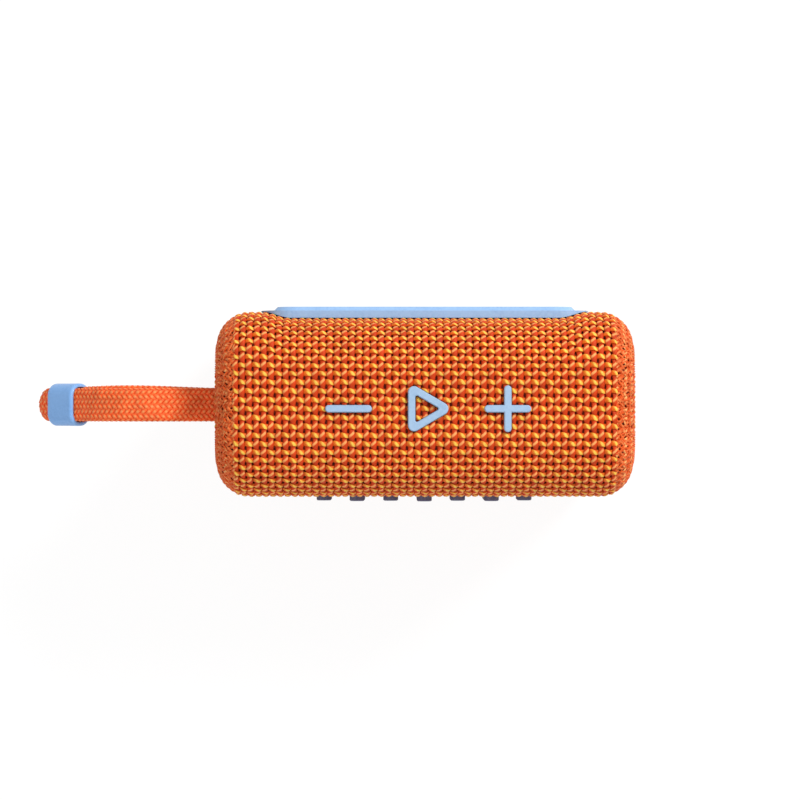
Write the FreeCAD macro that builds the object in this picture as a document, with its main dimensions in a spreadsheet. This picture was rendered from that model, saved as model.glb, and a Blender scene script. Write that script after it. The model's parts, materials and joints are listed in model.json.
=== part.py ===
import FreeCAD, Part

import math
import os
import re

import Sketcher
from FreeCAD import Placement, Rotation, Vector

# A pocket speaker in a woven cover. Z is up and the grille faces -Y. The origin is on the floor,
# under the middle of the box that holds all but the carry loop. All sizes are in millimetres.

SIZES = [
    # casing, outside to outside of the woven cover
    ("body_width", 87.5),
    ("body_depth", 38.9),
    ("body_height", 73.4),
    ("edge_round", 13.5),
    ("end_round", 7),
    ("scoop_depth", 1.35),
    ("scoop_half", 28),
    ("scoop_ramp", 6.5),
    ("fabric_thick", 1.25),
    ("glue_gap", 0.05),
    ("housing_wall", 2),
    ("grille_wall", 1.6),
    ("split_depth", 9.35),
    ("rim_thick", 1.8),
    ("boss_radius", 2.5),
    ("boss_length", 8),
    # what stands proud of the cover
    ("badge_proud", 1.3),
    ("panel_proud", 1.1),
    ("foot_proud", 0.8),
    ("key_proud", 0.8),
    # back panel, foot and badge
    ("panel_side_margin", 9.25),
    ("panel_margin", 12.2),
    ("panel_corner", 6),
    ("panel_flange", 2.6),
    ("panel_lip", 0.25),
    ("foot_length", 62),
    ("foot_width", 16),
    ("bar_width", 3.2),
    ("bar_pitch", 7.2),
    ("bar_step", 4.6),
    ("soft_edge", 0.2),
    # grille slots
    ("slot_length", 12.4),
    ("slot_width", 2.8),
    ("slot_pitch", 16),
    ("slot_rise", 6.6),
    # baffle
    ("baffle_thick", 2.5),
    ("gasket_thick", 0.6),
    ("gasket_width", 3.2),
    ("baffle_corner", 9),
    ("screw_radius", 0.9),
    ("screw_head", 1.9),
    ("screw_head_height", 1.3),
    ("flat_head_height", 0.9),
    ("screw_side_margin", 8.75),
    ("screw_margin", 10.7),
    ("fit_gap", 0.2),
    # driver, its depths are behind the face of the baffle
    ("driver_x", 16),
    ("driver_width", 43),
    ("driver_height", 47),
    ("driver_corner", 5),
    ("flange_thick", 1.2),
    ("basket_radius", 21),
    ("neck_step", 5.4),
    ("basket_depth", 9.2),
    ("basket_wall", 1.2),
    ("roll_radius", 1.4),
    ("coil_radius", 6.9),
    ("coil_wall", 0.5),
    ("coil_gap", 0.5),
    ("cone_depth", 5.2),
    ("coil_length", 8),
    ("yoke_radius", 11.5),
    ("yoke_depth", 17.6),
    ("yoke_floor", 2.5),
    ("pole_thick", 1.8),
    ("cone_wall", 0.4),
    ("cone_sink", 0.6),
    ("roll_wall", 0.3),
    ("dome_rise", 1.9),
    ("spider_drop", 1.2),
    # passive radiator
    ("passive_x", -23.5),
    ("passive_width", 27),
    ("passive_height", 47),
    ("passive_corner", 5),
    ("passive_rim", 2.8),
    ("plate_margin", 4.2),
    ("plate_thick", 1),
    ("skirt_thick", 0.5),
    # keys on top
    ("key_pitch", 16.4),
    ("key_offset", 0.6),
    ("key_back", -0.8),
    ("key_radius", 6.4),
    ("key_thick", 1.7),
    ("key_flange", 0.9),
    ("key_lip", 0.6),
    ("key_travel", 0.4),
    ("stroke_width", 1.5),
    ("stroke_length", 9.6),
    ("play_width", 8.3),
    ("play_height", 9.3),
    ("play_round", 1.25),
    ("switch_size", 4),
    ("switch_height", 1.5),
    ("board_thick", 1),
    ("key_board_drop", 8),
    ("key_post_reach", 26.5),
    ("key_board_width", 58),
    ("key_board_depth", 13),
    # side strip with its port and keys
    ("strip_y", 7.4),
    ("strip_width", 10),
    ("strip_margin", 13.2),
    ("strip_thick", 1.05),
    ("port_rise", 8),
    ("port_width", 8.94),
    ("port_height", 3.2),
    ("port_depth", 7.3),
    ("port_wall", 0.3),
    ("light_rise", 19),
    ("light_radius", 0.9),
    ("pairing_drop", 18),
    ("power_drop", 7),
    ("side_key_radius", 3.3),
    ("side_key_proud", 0.25),
    # electronics
    ("main_board_y", 9),
    ("main_board_width", 38.6),
    ("board_margin", 12.2),
    ("main_board_thick", 1.2),
    ("board_corner", 1.5),
    ("board_screw_inset", 3),
    ("chip_thick", 1.2),
    ("module_thick", 2),
    ("side_switch_reach", 3.1),
    ("ribbon_width", 7),
    ("ribbon_thick", 0.2),
    ("battery_width", 37),
    ("battery_height", 30),
    ("battery_thick", 7.5),
    ("battery_x", -20.5),
    ("battery_z", 33),
    ("foam_thick", 0.5),
    ("tray_wall", 1.2),
    ("tray_rise", 5),
    # carry loop
    ("loop_z", 55),
    ("cord_width", 7.25),
    ("cord_thick", 1.8),
    ("strand_rise", 2.2),
    ("socket_depth", 7),
    ("socket_wall", 1),
    ("socket_sink", 0.75),
    ("anchor_thick", 3),
    ("collar_rise", 1.2),
    ("collar_length", 7.1),
    ("collar_wall", 0.75),
    ("collar_gap", 0.15),
]

# Sizes and places that follow from the ones above, so that what fits together stays together.
FITTED = {
    "panel_width": "body_width - 2 * panel_side_margin",
    "panel_height": "body_height - 2 * panel_margin",
    "screw_reach": "body_width / 2 - screw_side_margin",
    "screw_rise": "body_height / 2 - screw_margin",
    "basket_neck": "basket_radius - neck_step",
    "cone_radius": "basket_radius - basket_wall - 2 * roll_radius - fit_gap",
    "strip_low": "foot_proud + strip_margin",
    "strip_high": "foot_proud + body_height - strip_margin",
    "port_z": "strip_low + port_rise",
    "light_z": "strip_low + light_rise",
    "pairing_z": "strip_high - pairing_drop",
    "power_z": "strip_high - power_drop",
    "main_board_low": "foot_proud + board_margin",
    "main_board_high": "foot_proud + body_height - board_margin",
}

# Planes and lines that several pieces share, as formulas of the sizes above.
FRONT_Y = "(badge_proud - panel_proud - body_depth) / 2"
BACK_Y = "(badge_proud - panel_proud + body_depth) / 2"
MIDDLE_Z = "foot_proud + body_height / 2"
TOP_Z = "foot_proud + body_height"
SHELL_GAP = "fabric_thick + glue_gap"
SPLIT_Y = f"{FRONT_Y} + split_depth"
BAFFLE_Y = f"{SPLIT_Y} - gasket_thick - baffle_thick"
HOUSING_TOP_Z = f"{TOP_Z} - fabric_thick - glue_gap"
SIDE_X = "body_width / 2 - fabric_thick - glue_gap"
KEY_BOARD_Z = f"{TOP_Z} - key_board_drop"
BACK_WALL_Y = f"{BACK_Y} - scoop_depth - fabric_thick - glue_gap - housing_wall"

# Which way a piece's own Z points; its own Y then points up, except on pieces that face up.
UPWARD = Rotation()
FORWARD = Rotation(Vector(1, 0, 0), 90)
RIGHTWARD = Rotation(Vector(1, 1, 1), 120)
BACKWARD = Rotation(Vector(0, 1, 1), 180)

ALIAS = re.compile(r"\b[a-z]+(?:_[a-z]+)+\b")

doc = FreeCAD.newDocument("pocket_speaker")
sheet = doc.addObject("Spreadsheet::Sheet", "dims")
for row, (alias, size) in enumerate(SIZES, start=1):
    sheet.set(f"A{row}", alias)
    sheet.set(f"B{row}", str(size))
    sheet.setAlias(f"B{row}", alias)
doc.recompute()

parts = []


def formula(text):
    """The text with each size's name turned into a reference to its cell, or into its own formula."""
    def reference(found):
        name = found.group()
        return f"({formula(FITTED[name])})" if name in FITTED else "dims." + name

    return ALIAS.sub(reference, str(text))


def number(text):
    """What a formula comes to."""
    return float(sheet.evalExpression(formula(text)))


def bind(thing, name, text):
    thing.setExpression(name, formula(text))


# ---- bodies, sketches and features ----


def place(thing, x, y, z, turn=UPWARD):
    thing.Placement = Placement(Vector(number(x), number(y), number(z)), turn)
    bind(thing, "Placement.Base.x", x)
    bind(thing, "Placement.Base.y", y)
    bind(thing, "Placement.Base.z", z)


def new_body(name, x="0", y="0", z="0", turn=UPWARD, base=None):
    """A sub-part; base is a shape that its features are cut into or built on."""
    body = doc.addObject("PartDesign::Body", name)
    body.Label = name
    if base is not None:
        blank = doc.addObject("Part::Feature", name + "_blank")
        blank.Shape = base
        body.BaseFeature = blank
    place(body, x, y, z, turn)
    parts.append(body)
    return body


def new_sketch(body, lift="0", plane="XY_Plane"):
    """A sketch on one of the body's origin planes, raised by lift along the plane's normal."""
    sketch = body.newObject("Sketcher::SketchObject", body.Name + "_sketch")
    origin = [f for f in body.Origin.OriginFeatures if f.Role == plane][0]
    sketch.AttachmentSupport = [(origin, "")]
    sketch.MapMode = "FlatFace"
    bind(sketch, "AttachmentOffset.Base.z", lift)
    return sketch


def pin(sketch, piece, end, x, y):
    """Holds a point of a sketch at x and y from its origin."""
    for kind, text in (("DistanceX", x), ("DistanceY", y)):
        index = sketch.addConstraint(Sketcher.Constraint(kind, -1, 1, piece, end, number(text)))
        bind(sketch, f"Constraints[{index}]", text)


def set_radius(sketch, piece, radius):
    index = sketch.addConstraint(Sketcher.Constraint("Radius", piece, number(radius)))
    bind(sketch, f"Constraints[{index}]", radius)


def circle(sketch, x, y, radius):
    centre = Vector(number(x), number(y), 0)
    piece = sketch.addGeometry(Part.Circle(centre, Vector(0, 0, 1), number(radius)), False)
    pin(sketch, piece, 3, x, y)
    set_radius(sketch, piece, radius)


def polygon(sketch, points):
    corners = [Vector(number(x), number(y), 0) for x, y in points]
    count = len(corners)
    first = sketch.GeometryCount
    for i in range(count):
        sketch.addGeometry(Part.LineSegment(corners[i], corners[(i + 1) % count]), False)
    for i in range(count):
        sketch.addConstraint(Sketcher.Constraint("Coincident", first + i, 2, first + (i + 1) % count, 1))
    for i, (x, y) in enumerate(points):
        pin(sketch, first + i, 1, x, y)


def hull(sketch, centres, radius):
    """The outline drawn tight round equal circles, whose centres go anticlockwise."""
    places = [Vector(number(x), number(y), 0) for x, y in centres]
    size = number(radius)
    count = len(places)
    angles = []
    for i in range(count):
        along = places[(i + 1) % count] - places[i]
        angles.append(math.atan2(along.y, along.x) - math.pi / 2)
    first = sketch.GeometryCount
    for i, middle in enumerate(places):
        start = angles[i - 1]
        turn = (angles[i] - start) % (2 * math.pi)
        ring = Part.Circle(middle, Vector(0, 0, 1), size)
        out = Vector(math.cos(angles[i]), math.sin(angles[i]), 0) * size
        sketch.addGeometry(Part.ArcOfCircle(ring, start, start + turn), False)
        sketch.addGeometry(Part.LineSegment(middle + out, places[(i + 1) % count] + out), False)
    for i, (x, y) in enumerate(centres):
        arc = first + 2 * i
        following = first + 2 * ((i + 1) % count)
        sketch.addConstraint(Sketcher.Constraint("Tangent", arc, 2, arc + 1, 1))
        sketch.addConstraint(Sketcher.Constraint("Tangent", arc + 1, 2, following, 1))
        pin(sketch, arc, 3, x, y)
        set_radius(sketch, arc, radius)


def rounded(sketch, width, height, corner, x="0", y="0"):
    """A rectangle with round corners about x and y."""
    across = f"(({width}) / 2 - ({corner}))"
    up = f"(({height}) / 2 - ({corner}))"
    signs = ((-1, -1), (1, -1), (1, 1), (-1, 1))
    hull(sketch, [(f"{x} + {a} * {across}", f"{y} + {b} * {up}") for a, b in signs], corner)


def stadium(sketch, length, width, x="0", y="0", upright=False):
    """A straight bar with round ends; length is from tip to tip."""
    reach = f"(({length}) - ({width})) / 2"
    ends = [(f"{x} + {a} * {reach}", y) for a in (-1, 1)]
    if upright:
        ends = [(x, f"{y} + {a} * {reach}") for a in (-1, 1)]
    hull(sketch, ends, f"({width}) / 2")


def pad(body, sketch, length):
    """Adds the sketch's outline, from the sketch along its normal."""
    feature = body.newObject("PartDesign::Pad", body.Name + "_pad")
    feature.Profile = sketch
    bind(feature, "Length", length)
    doc.recompute()
    return feature


def pocket(body, sketch, length):
    """Takes the sketch's outline away, from the sketch along its normal."""
    doc.recompute()
    before = body.Shape.Volume
    feature = body.newObject("PartDesign::Pocket", body.Name + "_pocket")
    feature.Profile = sketch
    feature.Reversed = True
    bind(feature, "Length", length)
    doc.recompute()
    if body.Shape.Volume >= before:
        raise RuntimeError(f"{feature.Name} cuts nothing")
    return feature


def revolve(body, sketch):
    """Turns the sketch's outline once round its upright axis."""
    feature = body.newObject("PartDesign::Revolution", body.Name + "_revolution")
    feature.Profile = sketch
    feature.ReferenceAxis = (sketch, ["V_Axis"])
    feature.Angle = 360
    doc.recompute()
    return feature


def dress(body, kind, size, chosen):
    """A Fillet or Chamfer on the edges of the body for which chosen(edge) is true."""
    base = body.Tip
    names = [f"Edge{i + 1}" for i, edge in enumerate(base.Shape.Edges) if chosen(edge)]
    feature = body.newObject("PartDesign::" + kind, body.Name + "_" + kind.lower())
    feature.Base = (base, names)
    bind(feature, "Radius" if kind == "Fillet" else "Size", size)
    doc.recompute()
    return feature


def repeat(body, feature, steps):
    """The feature again in rows: steps holds an axis name, a spacing and a count for each row."""
    made = []
    for axis, spacing, count in steps:
        row = doc.addObject("PartDesign::LinearPattern", body.Name + "_row")
        row.Direction = ([f for f in body.Origin.OriginFeatures if f.Role == axis][0], [""])
        row.Mode = "Spacing"
        row.Offset = number(spacing)
        bind(row, "Offset", spacing)
        row.Occurrences = count
        made.append(row)
    many = body.newObject("PartDesign::MultiTransform", body.Name + "_rows")
    many.Originals = [feature]
    for row in made:
        body.addObject(row)
    many.Transformations = made
    body.Tip = many
    doc.recompute()
    return many


def at_height(height, slack=0.01):
    """Chooses edges that lie at one height of their body."""
    return lambda edge: abs(edge.BoundBox.ZMin - height) < slack and abs(edge.BoundBox.ZMax - height) < slack


# ---- the skin: the outside of the cover, and surfaces set in from it ----


def profile(x, offset, dip):
    """The casing's outline across X, set in by offset; the back is further in by dip."""
    front = number(FRONT_Y) + offset
    back = number(BACK_Y) - offset - dip
    low = number("foot_proud") + offset
    high = number(TOP_Z) - offset
    bend = number("edge_round") - offset
    back_bend = bend - dip
    diagonal = math.sqrt(0.5)
    corners = [
        (back, high, -1, -1, back_bend, "z"),
        (back, low, -1, 1, back_bend, "y"),
        (front, low, 1, 1, bend, "z"),
        (front, high, 1, -1, bend, "y"),
    ]
    arcs = []
    for y, z, inward_y, inward_z, radius, first_axis in corners:
        middle = Vector(x, y + inward_y * radius, z + inward_z * radius)
        on_z = middle - Vector(0, 0, inward_z * radius)
        on_y = middle - Vector(0, inward_y * radius, 0)
        between = middle - Vector(0, inward_y * radius * diagonal, inward_z * radius * diagonal)
        ends = (on_z, between, on_y) if first_axis == "z" else (on_y, between, on_z)
        arcs.append(ends)
    edges = []
    for i, (start, between, end) in enumerate(arcs):
        edges.append(Part.LineSegment(arcs[i - 1][2], start).toShape())
        edges.append(Part.Arc(start, between, end).toShape())
    return Part.Wire(edges)


def prism(start, end, offset, dip):
    return Part.Face(profile(start, offset, dip)).extrude(Vector(end - start, 0, 0))


def capped(start, offset):
    """The casing's right end from start on, with its end edge rounded."""
    end = number("body_width") / 2 - offset
    block = prism(start, end, offset, 0)
    last = [e for e in block.Edges if abs(e.BoundBox.XMin - end) < 0.01]
    return block.makeFillet(number("end_round") - offset, last)


def mirrored(shape):
    return shape.mirror(Vector(), Vector(1, 0, 0))


def skin(offset, scooped=True):
    """A solid of the casing's outer form, set in by offset. Its back is hollowed for the panel."""
    half = number("scoop_half")
    ramp_end = half + number("scoop_ramp")
    if not scooped:
        right = capped(0, offset)
        return right.fuse(mirrored(right)).removeSplitter()
    depth = number("scoop_depth")
    sections = []
    steps = 3
    for i in range(steps + 1):
        share = i / steps
        dip = depth * (1 + math.cos(math.pi * share)) / 2
        sections.append(profile(half + share * (ramp_end - half), offset, dip))
    ramp = Part.makeLoft(sections, True, False)
    right = ramp.fuse(capped(ramp_end, offset))
    middle = prism(-half, half, offset, depth)
    return middle.fuse([right, mirrored(right)])


def slab(low, high, across=200):
    """A block between two values of Y, wider and higher than the casing."""
    return Part.makeBox(across, high - low, across, Vector(-across / 2, low, -across / 2))


def shell_half(offset, wall, front):
    """One of the two moulded shells: the skin from offset in, wall thick, cut at the split."""
    hollow = skin(offset, not front).cut(skin(offset + wall, not front))
    split = number(SPLIT_Y)
    return hollow.common(slab(-100, split) if front else slab(split, 100))


# ---- symbols on the top keys ----

PLAY_X = "(play_width / 2 - play_round)"
PLAY_Y = "(play_height / 2 - play_round)"
PLAY_SINE = f"({PLAY_Y} / sqrt({PLAY_Y}^2 + 4 * {PLAY_X}^2))"


def play_centres(shrink):
    """Centres of the corner circles of the play triangle, its sides moved in by shrink."""
    tip = f"{PLAY_X} - ({shrink}) / {PLAY_SINE}"
    left = f"-{PLAY_X} + {shrink}"
    rise = f"({PLAY_Y} / (2 * {PLAY_X})) * (({tip}) - ({left}))"
    return [(left, f"-{rise}"), (tip, "0"), (left, rise)]


def symbol_outlines(kind, grow):
    """Functions that each draw one outline of a key's symbol about x and y."""
    width = f"stroke_width + 2 * ({grow})"
    length = f"stroke_length + 2 * ({grow})"

    def bar(sketch, x, y):
        stadium(sketch, length, width, x, y)

    def post(sketch, x, y):
        stadium(sketch, length, width, x, y, upright=True)

    def triangle(sketch, x, y):
        hull(sketch, [(f"{x} + {a}", f"{y} + {b}") for a, b in play_centres("0")], f"play_round + {grow}")

    return {"minus": [bar], "plus": [bar, post], "play": [triangle]}[kind]


def island(sketch, x, y, shrink):
    """The inside of the hollow play triangle, with its sides moved in by shrink more."""
    inner_round = "0.35"
    centres = play_centres(f"stroke_width - play_round + {inner_round} + {shrink}")
    hull(sketch, [(f"{x} + {a}", f"{y} + {b}") for a, b in centres], inner_round)


KEYS = {
    "minus": "key_offset - key_pitch",
    "play": "key_offset",
    "plus": "key_offset + key_pitch",
}


# ---- casing ----


def fabric_cover():
    shell = skin(0).cut(skin(number("fabric_thick")))
    body = new_body("fabric_cover", base=shell)
    for kind, x in KEYS.items():
        for draw in symbol_outlines(kind, "fit_gap"):
            sketch = new_sketch(body, f"{TOP_Z} - 2 * fabric_thick")
            draw(sketch, x, "key_back")
            pocket(body, sketch, "3 * fabric_thick")
    foot = new_sketch(body, "foot_proud - fabric_thick")
    stadium(foot, "foot_length + 2 * fit_gap", "foot_width + 2 * fit_gap")
    pocket(body, foot, "3 * fabric_thick")
    strip = new_sketch(body, "body_width / 2 - 2 * fabric_thick", "YZ_Plane")
    side_strip_outline(strip, "fit_gap")
    pocket(body, strip, "3 * fabric_thick")
    mouth = new_sketch(body, "-body_width / 2 - fabric_thick", "YZ_Plane")
    socket_outline(mouth, "socket_wall + fit_gap")
    pocket(body, mouth, "3 * fabric_thick")


def side_strip_outline(sketch, grow):
    height = "strip_high - strip_low"
    middle = "(strip_high + strip_low) / 2"
    stadium(sketch, f"{height} + 2 * ({grow})", f"strip_width + 2 * ({grow})", "strip_y", middle, True)


def socket_outline(sketch, grow, corner="2"):
    """The mouth of the loop's socket, about its centre on the end wall."""
    width = f"cord_width + 4 * fit_gap + 2 * ({grow})"
    height = f"2 * strand_rise + cord_thick + 4 * fit_gap + 2 * ({grow})"
    rounded(sketch, width, height, corner, "0", "loop_z")


SCREW_PLACES = [(a, b) for a in (-1, 0, 1) for b in (-1, 1)]


BOARD_SCREW_PLACES = [
    (x, z)
    for x in ("board_screw_inset", "main_board_width - 2 * board_screw_inset")
    for z in ("main_board_low + board_screw_inset", "main_board_high - board_screw_inset")
]
DRIVER_SCREW_PLACES = [(f"{a} * (driver_width / 2 - 3)", f"{b} * (driver_height / 2 - 3)")
                       for a in (-1, 1) for b in (-1, 1)]


def rear_housing():
    """The moulded tub: back, top, bottom and sides, with a screw rim at its open front."""
    rim = skin(number(SHELL_GAP)).common(slab(number(SPLIT_Y), number(f"{SPLIT_Y} + rim_thick")))
    tub = shell_half(number(SHELL_GAP), number("housing_wall"), front=False)
    body = new_body("rear_housing", base=tub.fuse(rim))
    opening = new_sketch(body, f"-({SPLIT_Y}) - rim_thick - 1", "XZ_Plane")
    rounded(opening, "2 * basket_radius + 2 * driver_x + 2.4", "2 * screw_rise - 2 * boss_radius - 0.2",
            "driver_corner", "0", MIDDLE_Z)
    pocket(body, opening, "rim_thick + 2")
    for a, b in SCREW_PLACES:
        boss = new_sketch(body, f"-({SPLIT_Y}) - boss_length", "XZ_Plane")
        circle(boss, f"{a} * screw_reach", f"{MIDDLE_Z} + {b} * screw_rise", "boss_radius")
        circle(boss, f"{a} * screw_reach", f"{MIDDLE_Z} + {b} * screw_rise", "screw_radius + glue_gap")
        pad(body, boss, "boss_length - rim_thick")
        bore = new_sketch(body, f"-({SPLIT_Y}) - rim_thick - 1", "XZ_Plane")
        circle(bore, f"{a} * screw_reach", f"{MIDDLE_Z} + {b} * screw_rise", "screw_radius + glue_gap")
        pocket(body, bore, "rim_thick + 2")
    for x in KEYS.values():
        hole = new_sketch(body, f"{HOUSING_TOP_Z} - housing_wall - 1")
        circle(hole, x, "key_back", "key_radius + fit_gap")
        pocket(body, hole, "housing_wall + 2")
    port = new_sketch(body, f"{SIDE_X} - housing_wall - 1", "YZ_Plane")
    stadium(port, "port_width + 4 * fit_gap", "port_height + 4 * fit_gap", "strip_y", "port_z", True)
    for z in ("pairing_z", "power_z"):
        circle(port, "strip_y", z, "side_key_radius / 2 + fit_gap")
    circle(port, "strip_y", "light_z", "light_radius + fit_gap")
    pocket(body, port, "housing_wall + 2")
    mouth = new_sketch(body, f"-({SIDE_X}) - 1", "YZ_Plane")
    socket_outline(mouth, "socket_wall + glue_gap")
    pocket(body, mouth, "housing_wall + 2")
    for a in (-1, 1):
        post = new_sketch(body, f"{KEY_BOARD_Z} + board_thick")
        circle(post, f"key_offset + {a} * key_post_reach", "key_back", "boss_radius - 0.3")
        circle(post, f"key_offset + {a} * key_post_reach", "key_back", "screw_radius + glue_gap")
        pad(body, post, f"{HOUSING_TOP_Z} - housing_wall / 2 - ({KEY_BOARD_Z}) - board_thick")
    # standoffs that the main board is screwed to
    for x, z in BOARD_SCREW_PLACES:
        post = new_sketch(body, f"-({BACK_WALL_Y}) - housing_wall / 2", "XZ_Plane")
        circle(post, x, z, "boss_radius")
        circle(post, x, z, "screw_radius + glue_gap")
        pad(body, post, f"{BACK_WALL_Y} + housing_wall / 2 - main_board_y - main_board_thick")
    # ribs that the battery sits between
    tray = new_sketch(body, f"-({BACK_WALL_Y}) - housing_wall / 2", "XZ_Plane")
    for side in (-1, 1):
        rounded(tray, "tray_wall", "battery_height / 2", "tray_wall / 4",
                f"battery_x + {side} * (battery_width / 2 + fit_gap + tray_wall / 2)", "battery_z")
        rounded(tray, "battery_width / 2", "tray_wall", "tray_wall / 4", "battery_x",
                f"battery_z + {side} * (battery_height / 2 + fit_gap + tray_wall / 2)")
    pad(body, tray, "tray_rise + housing_wall / 2")


def front_grille():
    """The moulded front shell, open in rows of slots in front of both diaphragms."""
    shell = shell_half(number(SHELL_GAP), number("grille_wall"), front=True)
    body = new_body("front_grille", base=shell)
    columns = 5
    rows = 7
    slot = new_sketch(body, f"-({FRONT_Y}) - 2 * fabric_thick - grille_wall", "XZ_Plane")
    first_x = f"-{(columns - 1) / 2} * slot_pitch"
    first_z = f"{MIDDLE_Z} - {(rows - 1) / 2} * slot_rise"
    stadium(slot, "slot_length", "slot_width", first_x, first_z)
    cut = pocket(body, slot, "3 * fabric_thick + grille_wall")
    repeat(body, cut, [("X_Axis", "slot_pitch", columns), ("Z_Axis", "slot_rise", rows)])


def baffle_outline(sketch, inset):
    """The edge of the baffle, which lies just inside the front shell."""
    set_in = f"({SHELL_GAP} + grille_wall)"
    depth = "(split_depth - gasket_thick - baffle_thick)"
    rise = f"sqrt((edge_round - {set_in})^2 - (edge_round - {depth})^2)"
    height = f"body_height - 2 * edge_round + 2 * {rise} - 4 * fit_gap - 2 * ({inset})"
    width = f"body_width - 2 * {set_in} - 4 * fit_gap - 2 * ({inset})"
    rounded(sketch, width, height, f"baffle_corner - ({inset})")


def plate(name, y, thick, draw_outer, draw_inner=None, x="0", z=MIDDLE_Z):
    """A flat piece that faces forward, its back at y. The second outline is open."""
    body = new_body(name, x, y, z, FORWARD)
    sketch = new_sketch(body)
    draw_outer(sketch)
    if draw_inner:
        draw_inner(sketch)
    pad(body, sketch, thick)
    return body


def baffle_and_gasket():
    gasket = plate("baffle_gasket", SPLIT_Y, "gasket_thick", lambda s: baffle_outline(s, "0"),
                   lambda s: baffle_outline(s, "gasket_width"))
    for a, b in SCREW_PLACES:
        lug = new_sketch(gasket)
        circle(lug, f"{a} * screw_reach", f"{b} * screw_rise", "boss_radius")
        pad(gasket, lug, "gasket_thick")
        bore = new_sketch(gasket, "-1")
        circle(bore, f"{a} * screw_reach", f"{b} * screw_rise", "screw_radius + glue_gap")
        pocket(gasket, bore, "gasket_thick + 2")
    baffle = plate("front_baffle", f"{SPLIT_Y} - gasket_thick", "baffle_thick",
                   lambda s: baffle_outline(s, "0"))
    opening = new_sketch(baffle, "-1")
    circle(opening, "driver_x", "0", "basket_radius + fit_gap")
    rounded(opening, "passive_width - 2 * passive_rim", "passive_height - 2 * passive_rim",
            "passive_corner", "passive_x", "0")
    for a, b in SCREW_PLACES:
        circle(opening, f"{a} * screw_reach", f"{b} * screw_rise", "screw_radius + glue_gap")
    for x, z in DRIVER_SCREW_PLACES:
        circle(opening, f"driver_x + {x}", z, "screw_radius + glue_gap")
    pocket(baffle, opening, "baffle_thick + 2")


def screws(name, places, y, length, turn=FORWARD, radius="screw_radius", head="screw_head",
           head_height="screw_head_height"):
    """Pan-head screws, one solid at each place, with the underside of their heads at y."""
    body = new_body(name, "0", y, "0", turn)
    shafts = new_sketch(body, f"-({length})")
    for x, z in places:
        circle(shafts, x, z, radius)
    pad(body, shafts, length)
    heads = new_sketch(body)
    for x, z in places:
        circle(heads, x, z, head)
    pad(body, heads, head_height)
    return body


def baffle_screws():
    places = [(f"{a} * screw_reach", f"{MIDDLE_Z} + {b} * screw_rise") for a, b in SCREW_PLACES]
    screws("baffle_screws", places, BAFFLE_Y, "baffle_thick + gasket_thick + boss_length - 1")


def back_panel():
    """The rubber panel that fills the hollow of the back: a flange, and a plateau with sloping sides."""
    outside = skin(-number("panel_lip"), scooped=False).cut(skin(-number("glue_gap")))
    body = new_body("back_panel", base=outside.common(slab(0, 100)))
    beyond = new_sketch(body, "-2 * body_depth", "XZ_Plane")
    rounded(beyond, "3 * body_width", "3 * body_height", "edge_round", "0", MIDDLE_Z)
    rounded(beyond, "panel_width", "panel_height", "panel_corner", "0", MIDDLE_Z)
    pocket(body, beyond, "2 * body_depth")
    plateau = new_sketch(body, f"-({BACK_Y}) - panel_proud", "XZ_Plane")
    rounded(plateau, "panel_width - 2 * panel_flange", "panel_height - 2 * panel_flange",
            "panel_corner - panel_flange / 2", "0", MIDDLE_Z)
    pad(body, plateau, "panel_proud")
    crest = number(f"{BACK_Y} + panel_proud")
    dress(body, "Chamfer", "panel_proud - 1.2 * panel_lip",
          lambda edge: edge.BoundBox.YMin > crest - 0.01)


def bottom_foot():
    body = new_body("bottom_foot")
    sketch = new_sketch(body)
    stadium(sketch, "foot_length", "foot_width")
    pad(body, sketch, f"foot_proud + {SHELL_GAP}")
    dress(body, "Chamfer", "foot_proud / 2", at_height(0))


def badge_bars():
    """Seven upright bars of stepped length, like the display of an equaliser."""
    body = new_body("badge_bars", "0", f"{FRONT_Y} - glue_gap", MIDDLE_Z, FORWARD)
    sketch = new_sketch(body)
    steps = (2, 4, 3, 5, 3, 4, 2)
    for i, step in enumerate(steps):
        x = f"{i - len(steps) // 2} * bar_pitch"
        stadium(sketch, f"{step} * bar_step", "bar_width", x, "0", True)
    pad(body, sketch, "badge_proud - glue_gap")
    dress(body, "Chamfer", "soft_edge", at_height(number("badge_proud - glue_gap")))


# ---- driver ----


def turned(name, points, x="driver_x"):
    """A turned piece on the driver's axis, from its profile of radius and depth."""
    body = new_body(name, x, BAFFLE_Y, MIDDLE_Z, FORWARD)
    sketch = new_sketch(body, plane="XZ_Plane")
    polygon(sketch, points)
    revolve(body, sketch)
    return body


def driver_basket():
    neck = "basket_depth - basket_wall"
    body = turned("driver_basket", [
        ("basket_radius - basket_wall", "0"),
        ("basket_radius", "0"),
        ("basket_neck", f"-({neck})"),
        ("basket_neck", "-basket_depth"),
        ("coil_radius + coil_wall + coil_gap + 0.7", "-basket_depth"),
        ("coil_radius + coil_wall + coil_gap + 0.7", f"-({neck})"),
        ("basket_neck - basket_wall", f"-({neck})"),
    ])
    flange = new_sketch(body)
    rounded(flange, "driver_width", "driver_height", "driver_corner")
    circle(flange, "0", "0", "basket_radius - basket_wall")
    for x, z in DRIVER_SCREW_PLACES:
        circle(flange, x, z, "screw_radius + glue_gap")
    pad(body, flange, "flange_thick")


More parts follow.
